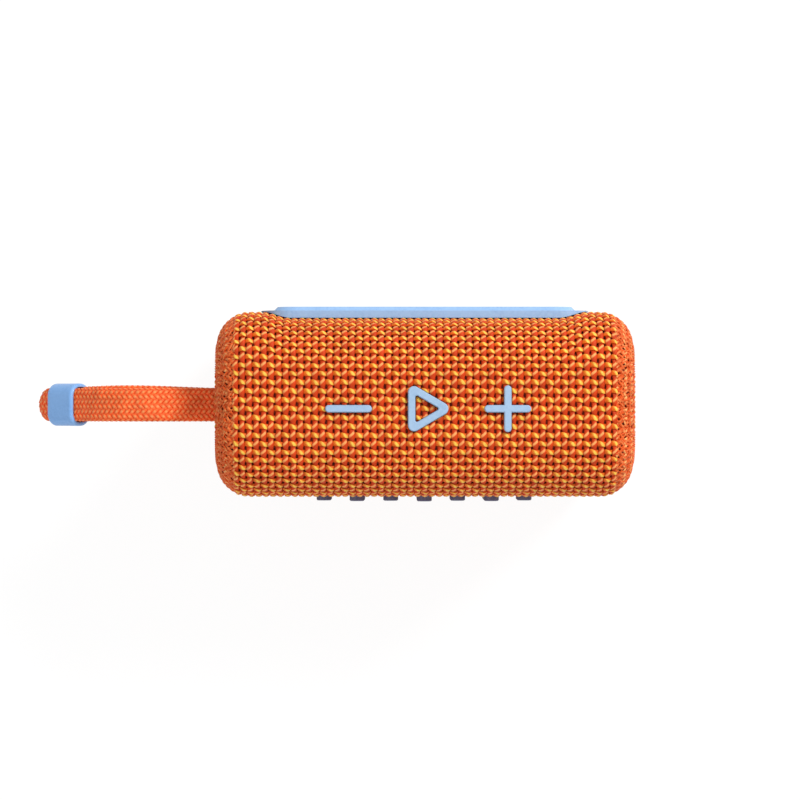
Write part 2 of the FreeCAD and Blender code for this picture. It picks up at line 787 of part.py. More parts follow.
def magnet_system():
    inner = "coil_radius + coil_wall + coil_gap"
    turned("driver_yoke", [
        ("0", "-yoke_depth"),
        ("yoke_radius", "-yoke_depth"),
        ("yoke_radius", "-basket_depth"),
        (inner, "-basket_depth"),
        (inner, "yoke_floor - yoke_depth"),
        ("0", "yoke_floor - yoke_depth"),
    ])
    pole = "coil_radius - coil_gap"
    turned("driver_magnet", [
        ("0", "yoke_floor - yoke_depth"),
        (f"{pole} - 0.2", "yoke_floor - yoke_depth"),
        (f"{pole} - 0.2", "-basket_depth - pole_thick"),
        ("0", "-basket_depth - pole_thick"),
    ])
    turned("pole_plate", [
        ("0", "-basket_depth - pole_thick"),
        (pole, "-basket_depth - pole_thick"),
        (pole, "-basket_depth"),
        ("0", "-basket_depth"),
    ])


def moving_cone():
    turned("driver_cone", [
        ("coil_radius + coil_wall", "-cone_depth - cone_wall"),
        ("coil_radius + coil_wall", "-cone_depth + cone_wall / 2"),
        ("cone_radius - 0.8", "flange_thick - cone_sink"),
        ("cone_radius", "flange_thick - cone_sink"),
        ("cone_radius", "flange_thick - cone_sink - cone_wall"),
        ("cone_radius - 0.7", "flange_thick - cone_sink - cone_wall"),
    ])
    turned("voice_coil", [
        ("coil_radius", "-cone_depth - coil_length"),
        ("coil_radius + coil_wall", "-cone_depth - coil_length"),
        ("coil_radius + coil_wall", "-cone_depth + cone_wall"),
        ("coil_radius", "-cone_depth + cone_wall"),
    ])
    turned("dust_cap", [
        ("0", "-cone_depth + cone_wall"),
        ("coil_radius + coil_wall", "-cone_depth + cone_wall"),
        ("coil_radius * 0.75", f"-cone_depth + cone_wall + dome_rise * 0.6"),
        ("coil_radius * 0.4", f"-cone_depth + cone_wall + dome_rise * 0.92"),
        ("0", f"-cone_depth + cone_wall + dome_rise"),
    ])


def driver_suspension():
    inner = "cone_radius + glue_gap"
    outer = "basket_radius - basket_wall - 3 * glue_gap"
    drop = "roll_radius"
    skirt = "roll_wall"
    turned("driver_surround", [
        (inner, f"flange_thick - cone_sink - {drop}"),
        (f"({inner} + {outer}) / 2", f"flange_thick - roll_wall - {drop} * 1.6"),
        (outer, f"flange_thick - cone_sink - {drop} / 2"),
        (outer, "flange_thick + glue_gap"),
        ("basket_radius", "flange_thick + glue_gap"),
        ("basket_radius", f"flange_thick + glue_gap + {skirt}"),
        (f"{outer} - {skirt}", f"flange_thick + glue_gap + {skirt}"),
        (f"{outer} - {skirt}", f"flange_thick - cone_sink - {drop} / 3"),
        (f"({inner} + {outer}) / 2", f"flange_thick - {drop} * 1.6 + 0.2"),
        (f"{inner} + {skirt}", f"flange_thick - cone_sink - {drop} / 2"),
        (f"{inner} + {skirt}", "flange_thick - 0.2"),
        (inner, "flange_thick - 0.2"),
    ])
    level = "-cone_depth - spider_drop"
    turned("driver_spider", [
        ("coil_radius + coil_wall + glue_gap", f"{level} - 0.4"),
        ("basket_neck - 0.4", f"{level} - 0.4"),
        ("basket_neck - 0.4", level),
        ("coil_radius + coil_wall + glue_gap", level),
    ])


def driver_screws():
    places = [(f"driver_x + {x}", f"{MIDDLE_Z} + {z}") for x, z in DRIVER_SCREW_PLACES]
    screws("driver_screws", places, f"{BAFFLE_Y} - flange_thick", "baffle_thick + flange_thick / 2",
           head_height="flat_head_height")


# ---- passive radiator ----


def passive_radiator():
    width = "passive_width - 2 * ({0})"
    height = "passive_height - 2 * ({0})"

    def ring(inset):
        corner = f"passive_corner - ({inset}) / 4"
        return lambda s: rounded(s, width.format(inset), height.format(inset), corner)

    plate("passive_frame", BAFFLE_Y, "flange_thick", ring("0"), ring("passive_rim"), "passive_x")
    plate("passive_surround", f"{BAFFLE_Y} - flange_thick - glue_gap", "skirt_thick",
          ring("passive_rim - 1"), ring("passive_rim + plate_margin + 1"), "passive_x")
    plate("passive_plate", f"{BAFFLE_Y} - flange_thick + plate_thick", "plate_thick",
          ring("passive_rim + plate_margin"), None, "passive_x")


# ---- keys ----


def top_keys():
    """Rubber keys under the cover. Each has a symbol that comes up through it."""
    pad_low = f"{HOUSING_TOP_Z} - housing_wall"
    flange_top = f"{pad_low} - fit_gap"
    switch_top = f"{KEY_BOARD_Z} + board_thick + switch_height"
    for kind, x in KEYS.items():
        body = new_body(kind + "_key", x, "key_back", "0")
        flange = new_sketch(body, f"{flange_top} - key_flange")
        circle(flange, "0", "0", "key_radius + key_lip")
        pad(body, flange, "key_flange")
        cap = new_sketch(body, flange_top)
        circle(cap, "0", "0", "key_radius")
        pad(body, cap, f"fit_gap + key_thick")
        stem = new_sketch(body, f"{switch_top} + key_travel + glue_gap")
        circle(stem, "0", "0", "switch_size / 2")
        pad(body, stem, f"{flange_top} - key_flange - ({switch_top}) - key_travel - glue_gap")
        for draw in symbol_outlines(kind, "0"):
            raised = new_sketch(body, f"{pad_low} + key_thick")
            draw(raised, "0", "0")
            pad(body, raised, f"{TOP_Z} + key_proud - ({pad_low}) - key_thick")
        if kind == "play":
            hollow = new_sketch(body, f"{pad_low} + key_thick")
            island(hollow, "0", "0", "0")
            pocket(body, hollow, "20")
            inset = new_body("play_key_fabric", x, "key_back", "0")
            inside = new_sketch(inset, f"{pad_low} + key_thick")
            island(inside, "0", "0", "fit_gap / 2")
            pad(inset, inside, f"{TOP_Z} - ({pad_low}) - key_thick")
        dress(body, "Chamfer", "soft_edge", at_height(number(f"{TOP_Z} + key_proud")))


def side_keys():
    for name, z in (("pairing_key", "pairing_z"), ("power_key", "power_z")):
        body = new_body(name, SIDE_X, "strip_y", z, RIGHTWARD)
        cap = new_sketch(body, "key_travel + glue_gap")
        circle(cap, "0", "0", "side_key_radius")
        pad(body, cap, "strip_thick + side_key_proud - key_travel - glue_gap")
        stem = new_sketch(body, f"main_board_width + 1.4 + key_travel + glue_gap - ({SIDE_X})")
        circle(stem, "0", "0", "side_key_radius / 2")
        pad(body, stem, f"{SIDE_X} - main_board_width - 1.4")
        dress(body, "Chamfer", "0.2", at_height(number("strip_thick + side_key_proud")))


def side_strip():
    """The rubber strip on the right end, with its port, status light and two keys."""
    body = new_body("side_strip", SIDE_X, "0", "0", RIGHTWARD)
    sketch = new_sketch(body)
    side_strip_outline(sketch, "0")
    pad(body, sketch, "strip_thick")
    holes = new_sketch(body, "-1")
    stadium(holes, "port_width + 2 * fit_gap", "port_height + 2 * fit_gap", "strip_y", "port_z", True)
    circle(holes, "strip_y", "light_z", "light_radius + glue_gap")
    for z in ("pairing_z", "power_z"):
        circle(holes, "strip_y", z, "side_key_radius + fit_gap")
    pocket(body, holes, "strip_thick + 2")
    light = new_body("status_light", "main_board_width + glue_gap", "strip_y", "light_z", RIGHTWARD)
    pipe = new_sketch(light)
    circle(pipe, "0", "0", "light_radius")
    pad(light, pipe, f"{SIDE_X} + strip_thick - main_board_width - glue_gap")


# ---- electronics ----


def usb_port():
    """A USB-C receptacle with its tongue, and the seal round it."""
    body = new_body("usb_c_socket", "main_board_width - port_depth + 3.4", "strip_y", "port_z", RIGHTWARD)
    shell = new_sketch(body)
    stadium(shell, "port_width", "port_height", "0", "0", True)
    pad(body, shell, "port_depth")
    cavity = new_sketch(body, "1.1")
    stadium(cavity, "port_width - 2 * port_wall", "port_height - 2 * port_wall", "0", "0", True)
    pocket(body, cavity, "port_depth")
    tongue = new_sketch(body, "1")
    rounded(tongue, "0.7", "port_width - 2.2", "0.3")
    pad(body, tongue, "port_depth - 1.6")
    seal = new_body("usb_gasket", "main_board_width + 0.2", "strip_y", "port_z", RIGHTWARD)
    ring = new_sketch(seal)
    stadium(ring, "port_width + 2.6", "port_height + 2.6", "0", "0", True)
    stadium(ring, "port_width + 2 * glue_gap", "port_height + 2 * glue_gap", "0", "0", True)
    pad(seal, ring, f"{SIDE_X} - housing_wall - main_board_width - 0.2 - glue_gap")


def block(name, groups, y, turn=FORWARD, z="0"):
    """Rectangular pieces on a board. A group is pieces of one thickness: x, z, width, height."""
    body = new_body(name, "0", y, z, turn)
    for places, thick in groups:
        sketch = new_sketch(body)
        for across, up, width, height in places:
            rounded(sketch, width, height, "0.2", across, up)
        pad(body, sketch, thick)
    return body


def main_electronics():
    middle = "(main_board_low + main_board_high) / 2"
    body = new_body("main_board", "0", "main_board_y + main_board_thick", "0", FORWARD)
    sketch = new_sketch(body)
    rounded(sketch, "main_board_width", "main_board_high - main_board_low", "board_corner",
            "main_board_width / 2", middle)
    for x, z in BOARD_SCREW_PLACES:
        circle(sketch, x, z, "screw_radius + glue_gap")
    pad(body, sketch, "main_board_thick")
    screws("board_screws", BOARD_SCREW_PLACES, "main_board_y", "4", head_height="flat_head_height")
    module = [("8", "main_board_low + 15", "10", "14")]
    block("radio_module", [(module, "module_thick")], "main_board_y")
    chips = [
        ("26", "main_board_low + 12", "6", "6"),
        ("8", "main_board_high - 8", "5", "5"),
        ("20", "main_board_high - 6", "9", "3"),
        ("30", "main_board_high - 12", "4", "4"),
    ]
    light = [("main_board_width - 1", "light_z", "2", "1.6")]
    block("board_components", [(chips, "chip_thick"), (light, "2 * chip_thick")], "main_board_y")
    side = [("main_board_width - 0.2", z, "3.2", "4.6") for z in ("pairing_z", "power_z")]
    block("side_switches", [(side, "side_switch_reach")], "main_board_y")


def key_board():
    """The small board under the top keys, hung from two posts of the tub."""
    body = new_body("top_key_board", "key_offset", "key_back", KEY_BOARD_Z)
    sketch = new_sketch(body)
    rounded(sketch, "key_board_width", "key_board_depth", "board_corner")
    for a in (-1, 1):
        circle(sketch, f"{a} * key_post_reach", "0", "screw_radius + glue_gap")
    pad(body, sketch, "board_thick")
    top = [(x, "key_back", "switch_size", "switch_size") for x in KEYS.values()]
    block("top_switches", [(top, "switch_height")], "0", UPWARD, f"{KEY_BOARD_Z} + board_thick")
    screws_up = new_body("key_board_screws", "key_offset", "key_back", KEY_BOARD_Z, UPWARD)
    heads = new_sketch(screws_up, "-flat_head_height")
    shafts = new_sketch(screws_up)
    for a in (-1, 1):
        circle(heads, f"{a} * key_post_reach", "0", "screw_head")
        circle(shafts, f"{a} * key_post_reach", "0", "screw_radius")
    pad(screws_up, heads, "flat_head_height")
    pad(screws_up, shafts, "board_thick + 2.6")
    ribbon = new_body("flex_cable", "22")
    side = new_sketch(ribbon, plane="YZ_Plane")
    under = f"{KEY_BOARD_Z} - glue_gap"
    polygon(side, [
        ("2.5", under),
        ("2.5", f"{under} - ribbon_thick"),
        ("4.4", f"{under} - ribbon_thick"),
        ("main_board_y - ribbon_thick - glue_gap", "main_board_high - ribbon_thick"),
        ("main_board_y - ribbon_thick - glue_gap", "main_board_high - 3"),
        ("main_board_y - glue_gap", "main_board_high - 3"),
        ("main_board_y - glue_gap", "main_board_high"),
        ("4.5", under),
    ])
    pad(ribbon, side, "ribbon_width")


def battery():
    plate("battery_cell", f"{BACK_WALL_Y} - foam_thick", "battery_thick",
          lambda s: rounded(s, "battery_width", "battery_height", "2"), None, "battery_x", "battery_z")
    plate("battery_foam", BACK_WALL_Y, "foam_thick",
          lambda s: rounded(s, "battery_width / 2", "battery_height * 0.7", "1"), None,
          "battery_x + battery_width / 8", "battery_z")


# ---- carry loop ----

SOCKET_X = "-body_width / 2 + socket_sink"
ANCHOR_X = f"{SOCKET_X} + socket_depth - socket_wall - anchor_thick"

# The middle of the flat cord, out of the socket above and back into it below, as X and Z.
LOOP_ROUTE = [
    (-40.0, 57.2),
    (-46.5, 57.2),
    (-56.5, 60.4),
    (-66.5, 57.9),
    (-73.3, 51.75),
    (-78.89, 47.06),
    (-81.66, 44.6),
    (-80.25, 42.91),
    (-77.35, 45.22),
    (-71.76, 49.91),
    (-64.5, 53.5),
    (-55.5, 51.3),
    (-46.5, 52.8),
    (-40.0, 52.8),
]
COLLAR_X = -75.9
COLLAR_Z = 48.0
COLLAR_TURN = -130
CORD_BEND = 0.45


def loop_socket():
    body = new_body("loop_socket", SOCKET_X)
    cup = new_sketch(body, "0", "YZ_Plane")
    socket_outline(cup, "socket_wall")
    pad(body, cup, "socket_depth")
    mouth = new_sketch(body, "-1", "YZ_Plane")
    socket_outline(mouth, "0")
    pocket(body, mouth, "1 + socket_depth - socket_wall")
    anchor = new_body("loop_anchor", ANCHOR_X)
    fill = new_sketch(anchor, "0", "YZ_Plane")
    socket_outline(fill, "-fit_gap / 2")
    pad(anchor, fill, "anchor_thick")


def cord_path(sketch, points):
    """Straight runs joined by arcs, each as wide as its two runs allow. Prints the radii."""
    places = [Vector(x, z, 0) for x, z in points]
    start = places[0]
    radii = []
    for before, corner, after in zip(places, places[1:], places[2:]):
        into = corner - before
        out = after - corner
        turn = into.getAngle(out)
        reach = CORD_BEND * min(into.Length, out.Length)
        radii.append(reach / math.tan(turn / 2))
        near = corner - into.normalize() * reach
        far = corner + out.normalize() * reach
        inward = (out - into).normalize()
        centre = corner + inward * (radii[-1] / math.cos(turn / 2))
        middle = centre - inward * radii[-1]
        sketch.addGeometry(Part.LineSegment(start, near), False)
        sketch.addGeometry(Part.Arc(near, middle, far), False)
        start = far
    sketch.addGeometry(Part.LineSegment(start, places[-1]), False)
    print("cord radii", [round(radius, 1) for radius in radii])


def loop_cord():
    body = new_body("loop_cord")
    path = new_sketch(body, "0", "XZ_Plane")
    cord_path(path, LOOP_ROUTE)
    section = new_sketch(body, str(LOOP_ROUTE[0][0]), "YZ_Plane")
    start = LOOP_ROUTE[0][1]
    cut = "cord_thick / 3"
    polygon(section, [
        (f"-cord_width / 2 + {cut}", f"{start} - cord_thick / 2"),
        (f"cord_width / 2 - {cut}", f"{start} - cord_thick / 2"),
        ("cord_width / 2", f"{start} - cord_thick / 2 + {cut}"),
        ("cord_width / 2", f"{start} + cord_thick / 2 - {cut}"),
        (f"cord_width / 2 - {cut}", f"{start} + cord_thick / 2"),
        (f"-cord_width / 2 + {cut}", f"{start} + cord_thick / 2"),
        ("-cord_width / 2", f"{start} + cord_thick / 2 - {cut}"),
        ("-cord_width / 2", f"{start} - cord_thick / 2 + {cut}"),
    ])
    doc.recompute()
    pipe = body.newObject("PartDesign::AdditivePipe", "loop_cord_pipe")
    pipe.Profile = section
    pipe.Spine = (path, [f"Edge{i + 1}" for i in range(len(path.Shape.Edges))])
    doc.recompute()
    expected = Part.Face(section.Shape.Wires[0]).Area * path.Shape.Length
    print("cord volume", round(pipe.Shape.Volume, 1), "section by length", round(expected, 1),
          "length", round(path.Shape.Length, 1))


def loop_collar():
    body = new_body("loop_collar", COLLAR_X, "0", COLLAR_Z, Rotation(Vector(0, 1, 0), COLLAR_TURN))
    sketch = new_sketch(body, "-collar_length / 2")
    inner_rise = "2 * collar_rise + cord_thick + 2 * collar_gap"
    inner_width = "cord_width + 2 * collar_gap"
    rounded(sketch, f"{inner_rise} + 2 * collar_wall", f"{inner_width} + 2 * collar_wall", "1.6")
    rounded(sketch, inner_rise, inner_width, "0.85")
    pad(body, sketch, "collar_length")


# ---- the whole speaker ----

fabric_cover()
rear_housing()
front_grille()
baffle_and_gasket()
baffle_screws()
back_panel()
bottom_foot()
badge_bars()
driver_basket()
magnet_system()
moving_cone()
driver_suspension()
driver_screws()
passive_radiator()
top_keys()
side_keys()
side_strip()
usb_port()
main_electronics()
key_board()
battery()
loop_socket()
loop_cord()
loop_collar()

doc.recompute()
for thing in doc.Objects:
    if "Invalid" in thing.State or "Error" in thing.State:
        raise RuntimeError(f"{thing.Name} did not build: {thing.State}")
for part in parts:
    if part.Shape.isNull() or not part.Shape.isValid():
        raise RuntimeError(f"{part.Label} has no sound shape")
os.makedirs("parts", exist_ok=True)
for part in parts:
    part.Shape.exportStep(f"parts/{part.Label}.step")
print(len(parts), "sub-parts written")
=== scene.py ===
import json
import math

import bmesh
import bpy
import numpy as np
from mathutils import Matrix, Vector


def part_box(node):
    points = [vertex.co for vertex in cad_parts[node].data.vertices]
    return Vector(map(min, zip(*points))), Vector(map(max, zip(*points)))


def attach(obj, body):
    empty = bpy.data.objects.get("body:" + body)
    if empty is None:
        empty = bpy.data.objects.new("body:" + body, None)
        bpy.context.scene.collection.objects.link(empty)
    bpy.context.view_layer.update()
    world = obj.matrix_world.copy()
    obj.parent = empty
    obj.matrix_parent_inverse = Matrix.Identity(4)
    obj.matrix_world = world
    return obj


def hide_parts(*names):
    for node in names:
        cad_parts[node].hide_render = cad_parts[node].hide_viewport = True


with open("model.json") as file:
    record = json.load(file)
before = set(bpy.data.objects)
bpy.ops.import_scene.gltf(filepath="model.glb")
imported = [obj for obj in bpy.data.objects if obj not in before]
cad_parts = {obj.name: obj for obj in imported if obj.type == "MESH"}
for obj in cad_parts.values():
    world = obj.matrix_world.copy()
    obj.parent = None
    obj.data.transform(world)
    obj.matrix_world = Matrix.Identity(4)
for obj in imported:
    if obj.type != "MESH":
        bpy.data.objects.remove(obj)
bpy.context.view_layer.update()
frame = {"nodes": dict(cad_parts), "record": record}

# A pocket speaker in a woven cover, with a braided carry loop. Lengths are in metres.

nodes = frame["nodes"]

# ---- camera, lamps and floor ----
# A tabletop product set-up: the speaker lies on its foot on white card, seen from straight above,
# under one large soft lamp at the back right and an even white surround.

CAMERA_PLACE = (-0.0052, 0.001, 0.767)
LENS = 151.4
LAMPS = {
    "key_lamp": ((0.44, 0.42, 0.60), 0.26, 5.0),
    "fill_lamp": ((-0.55, -0.30, 0.60), 0.5, 1.0),
    "front_lamp": ((0.10, -0.70, 0.35), 0.5, 0.8),
}
SURROUND_LEVEL = 0.40
CARD_GLOW = 0.90
FLOOR_SIZE = 3.0


def add(tree, kind, inputs=None, **settings):
    """A node of a tree. Each of its inputs is given a value, or the socket that feeds it."""
    made = tree.nodes.new("ShaderNode" + kind)
    for name, value in settings.items():
        setattr(made, name, value)
    for name, value in (inputs or {}).items():
        if isinstance(value, bpy.types.NodeSocket):
            tree.links.new(value, made.inputs[name])
        else:
            made.inputs[name].default_value = value
    return made


def maths(tree, operation, *values):
    """The result of a Math node."""
    return add(tree, "Math", dict(enumerate(values)), operation=operation).outputs[0]


def new_material(name):
    """An empty node material, its tree and its output's surface socket."""
    material = bpy.data.materials.new(name)
    material.use_nodes = True
    material.node_tree.nodes.clear()
    surface = add(material.node_tree, "OutputMaterial").inputs["Surface"]
    return material, material.node_tree, surface


def new_piece(name, bm, *materials):
    """An object with the faces of a bmesh, which is freed."""
    mesh = bpy.data.meshes.new(name)
    bm.to_mesh(mesh)
    bm.free()
    for material in materials:
        mesh.materials.append(material)
    piece = bpy.data.objects.new(name, mesh)
    scene.collection.objects.link(piece)
    return piece


scene = bpy.context.scene
scene.view_settings.view_transform = "Standard"

camera_data = bpy.data.cameras.new("camera")
camera_data.lens = LENS
camera_data.sensor_width = 36
camera_data.clip_start = 0.01
camera = bpy.data.objects.new("camera", camera_data)
camera.location = CAMERA_PLACE
scene.collection.objects.link(camera)
scene.camera = camera

for name, (place, size, power) in LAMPS.items():
    lamp_data = bpy.data.lights.new(name, "AREA")
    lamp_data.size = size
    lamp_data.energy = power
    lamp = bpy.data.objects.new(name, lamp_data)
    lamp.location = place
    aim = Vector((0, 0, 0.04)) - Vector(place)
    lamp.rotation_euler = aim.to_track_quat("-Z", "Y").to_euler()
    scene.collection.objects.link(lamp)

world = bpy.data.worlds.new("surround")
world.use_nodes = True
world.node_tree.nodes.clear()
rays = add(world.node_tree, "LightPath")
seen = maths(world.node_tree, "MAXIMUM", rays.outputs["Is Camera Ray"], rays.outputs["Is Glossy Ray"])
seen = maths(world.node_tree, "MAXIMUM", seen, rays.outputs["Is Transmission Ray"])
level = add(world.node_tree, "MapRange", {"Value": seen, "To Min": SURROUND_LEVEL, "To Max": 1.0})
sky = add(world.node_tree, "Background", {"Color": (1, 1, 1, 1), "Strength": level.outputs["Result"]})
add(world.node_tree, "OutputWorld", {"Surface": sky.outputs[0]})
scene.world = world

material, tree, surface = new_material("white_card")
seen = add(tree, "LightPath").outputs["Is Camera Ray"]
place = add(tree, "TexCoord").outputs["Object"]
grain = add(tree, "TexNoise", {"Vector": place, "Scale": 260.0, "Detail": 3.0})
card = add(tree, "MapRange", {"Value": grain.outputs[0], "To Min": 0.84, "To Max": 0.88})
dimmed = add(tree, "MapRange", {"Value": seen, "To Min": 1.0, "To Max": 0.18})
tone = maths(tree, "MULTIPLY", card.outputs[0], dimmed.outputs[0])
card_shader = add(tree, "BsdfPrincipled", {"Base Color": tone, "Roughness": 0.85,
                                           "Specular IOR Level": 0.1})
glow = maths(tree, "MULTIPLY", seen, CARD_GLOW)
light = add(tree, "Emission", {"Color": (1, 1, 1, 1), "Strength": glow})
both = add(tree, "AddShader", {0: card_shader.outputs[0], 1: light.outputs[0]})
tree.links.new(both.outputs[0], surface)

floor_bm = bmesh.new()
bmesh.ops.create_grid(floor_bm, x_segments=2, y_segments=2, size=FLOOR_SIZE / 2)
floor = new_piece("floor", floor_bm, material)

# ---- the form under the cloth ----
# The cover is stretched over the moulded casing, a rounded block with a shallow hollow in its back.
# A place on it is given by how far along it lies, how far round it, and how high over it.

cover_low, cover_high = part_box("fabric_cover")
HALF_LENGTH = cover_high.x
FRONT, BACK = cover_low.y, cover_high.y
BOTTOM, TOP = cover_low.z, cover_high.z
EDGE_ROUND = 0.0135
END_ROUND = 0.007
HOLLOW = 0.00135
HOLLOW_HALF = 0.028
HOLLOW_RAMP = 0.0065
STRAIGHT = HALF_LENGTH - END_ROUND
REACH = STRAIGHT + END_ROUND * math.pi / 2
BEND = EDGE_ROUND * math.pi / 2
FLAT_TOP = BACK - FRONT - 2 * EDGE_ROUND
FLAT_BACK = TOP - BOTTOM - 2 * EDGE_ROUND
GIRTH = 2 * FLAT_TOP + 2 * FLAT_BACK + 4 * BEND


def over_casing(along, around, lift):
    """The place on the casing: along from its middle, around from the middle of the top, lift above it."""
    beyond = np.clip((np.abs(along) - STRAIGHT) / END_ROUND, 0, math.pi / 2)
    x = np.sign(along) * (np.minimum(np.abs(along), STRAIGHT) + (END_ROUND + lift) * np.sin(beyond))
    inset = END_ROUND - (END_ROUND + lift) * np.cos(beyond)
    ramp = np.clip((np.abs(x) - HOLLOW_HALF) / HOLLOW_RAMP, 0, 1)
    dip = HOLLOW * (1 + np.cos(math.pi * ramp)) / 2
    turned = np.abs((around + GIRTH / 2) % GIRTH - GIRTH / 2)
    behind = np.sign((around + GIRTH / 2) % GIRTH - GIRTH / 2)
    middle = (FRONT + BACK) / 2
    first = turned - FLAT_TOP / 2
    side = first - BEND
    last = side - FLAT_BACK
    bottom = last - BEND
    angle = np.clip(first / BEND, 0, 1) * math.pi / 2 + np.clip(last / BEND, 0, 1) * math.pi / 2
    down = np.clip(side, 0, FLAT_BACK) / FLAT_BACK
    out = np.clip(turned, 0, FLAT_TOP / 2) - np.clip(bottom, 0, FLAT_TOP / 2)
    dip = np.where(behind > 0, dip, 0)
    radius = EDGE_ROUND - dip - inset
    bend_top = TOP - EDGE_ROUND + dip
    bend_low = BOTTOM + EDGE_ROUND - dip
    y = middle + behind * (out + radius * np.sin(angle))
    z = bend_top + (bend_low - bend_top) * down + radius * np.cos(angle)
    return np.stack([x, y, z], axis=-1)


# ---- openings in the cover ----
# The cloth is cut for the raised signs on top, the foot, the side strip and the loop's socket.
# Under the back panel it stops a little way in, where the panel's edge presses on it.

KEY_X = {kind: sum(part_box(kind + "_key")[i].x for i in (0, 1)) / 2 for kind in ("minus", "play", "plus")}
KEY_Y = sum(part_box("minus_key")[i].y for i in (0, 1)) / 2
STROKE_WIDTH = 0.0015
STROKE_LENGTH = 0.0096
PLAY_WIDTH = 0.0083
PLAY_HEIGHT = 0.0093
PLAY_ROUND = 0.00125
PLAY_INNER_ROUND = 0.00035
FAR = 1.0


def from_rounded(u, v, half_u, half_v, corner):
    """How far outside a rectangle with round corners a place is; it is negative inside."""
    du = np.abs(u) - half_u + corner
    dv = np.abs(v) - half_v + corner
    outside = np.hypot(np.maximum(du, 0), np.maximum(dv, 0))
    return outside + np.minimum(np.maximum(du, dv), 0) - corner


def play_corners(shrink):
    """Centres of the play sign's corner rounds, its sides moved in by shrink."""
    half_u = PLAY_WIDTH / 2 - PLAY_ROUND
    half_v = PLAY_HEIGHT / 2 - PLAY_ROUND
    sine = half_v / math.hypot(half_v, 2 * half_u)
    tip = half_u - shrink / sine
    left = -half_u + shrink
    rise = half_v / (2 * half_u) * (tip - left)
    return [(left, -rise), (tip, 0.0), (left, rise)]


def from_triangle(u, v, corners, corner_round):
    nearest = np.full(np.shape(u), FAR)
    inside = np.ones(np.shape(u), bool)
    for (au, av), (bu, bv) in zip(corners, corners[1:] + corners[:1]):
        eu, ev = bu - au, bv - av
        share = np.clip(((u - au) * eu + (v - av) * ev) / (eu * eu + ev * ev), 0, 1)
        nearest = np.minimum(nearest, np.hypot(u - au - share * eu, v - av - share * ev))
        inside &= eu * (v - av) - ev * (u - au) > 0
    return np.where(inside, -nearest, nearest) - corner_round


def from_island(places):
    """How far outside the window of the hollow play sign."""
    corners = play_corners(STROKE_WIDTH - PLAY_ROUND + PLAY_INNER_ROUND)
    return from_triangle(places[:, 0] - KEY_X["play"], places[:, 1] - KEY_Y, corners, PLAY_INNER_ROUND)


def from_signs(places):
    v = places[:, 1] - KEY_Y
    half_stroke = STROKE_LENGTH / 2
    half_width = STROKE_WIDTH / 2
    gaps = [
        from_rounded(places[:, 0] - KEY_X["minus"], v, half_stroke, half_width, half_width),
        from_rounded(places[:, 0] - KEY_X["plus"], v, half_stroke, half_width, half_width),
        from_rounded(places[:, 0] - KEY_X["plus"], v, half_width, half_stroke, half_width),
        from_triangle(places[:, 0] - KEY_X["play"], v, play_corners(0.0), PLAY_ROUND),
    ]
    return np.where(places[:, 2] > 0.9 * TOP, np.min(gaps, axis=0), FAR)


def from_box(places, node, first, second, corner, region):
    """How far outside a node's rounded outline, where region is true."""
    low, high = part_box(node)
    u = places[:, first] - (low[first] + high[first]) / 2
    v = places[:, second] - (low[second] + high[second]) / 2
    gap = from_rounded(u, v, (high[first] - low[first]) / 2, (high[second] - low[second]) / 2, corner)
    return np.where(region, gap, FAR)


SIGN_GAP = 0.00008
CUT_GAP = 0.00015
PANEL_COVER = 0.002
PANEL_CORNER = 0.006
SOCKET_CORNER = 0.002
BACK_FROM = 0.012
UNDER_BELOW = 0.01
END_DEPTH = 0.002


def cloth_room(places):
    """How far inside the cloth a place is; it is negative in an opening."""
    end = np.abs(places[:, 0]) > HALF_LENGTH - END_DEPTH
    side_corner = (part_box("side_strip")[1].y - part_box("side_strip")[0].y) / 2
    foot_corner = (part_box("bottom_foot")[1].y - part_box("bottom_foot")[0].y) / 2
    return np.min([
        from_signs(places) - SIGN_GAP,
        from_box(places, "back_panel", 0, 2, PANEL_CORNER, places[:, 1] > BACK_FROM) + PANEL_COVER,
        from_box(places, "bottom_foot", 0, 1, foot_corner, places[:, 2] < UNDER_BELOW) - CUT_GAP,
        from_box(places, "side_strip", 1, 2, side_corner, end & (places[:, 0] > 0)) - CUT_GAP,
        from_box(places, "loop_socket", 1, 2, SOCKET_CORNER, end & (places[:, 0] < 0)) - CUT_GAP,
    ], axis=0)


def island_room(places):
    return -from_island(places) - CUT_GAP / 2


# ---- woven cover ----
# Plain weave of two yarns: a thick orange-red one that runs round the casing, and a finer amber one
# along it. Both are two-ply, so light catches on slanting ridges, and the openings between are dark.

COLUMN = 0.001514
ROWS = 110
ROW = GIRTH / ROWS
SEAM_TURN = math.radians(26)
SLEEVE = STRAIGHT + END_ROUND * SEAM_TURN
COLUMNS = 2 * int(SLEEVE / COLUMN) + 1
WARP_WIDTH = 0.00124
WARP_THICK = 0.00060
WEFT_WIDTH = 0.00118
WEFT_THICK = 0.00050
WARP_SWING = 0.00024
WEFT_SWING = 0.00032
WEFT_SLANT = 0.00008
CLOTH_MIDDLE = -0.00057
CLOTH_THICK = 0.00125
SIDES = 8
STEPS = 4
WARP_CREST = 0.12
WEFT_CREST = 0.10
PLY_RELIEF = 0.13
WARP_SPREAD = 0.19
WARP_FLATTEN = 0.08
WEFT_PINCH = 0.05
WARP_UNEVEN = 0.07
WEFT_UNEVEN = 0.09
WARP_DRIFT = 0.00007
WEFT_DRIFT = 0.00008
random = np.random.default_rng(11)


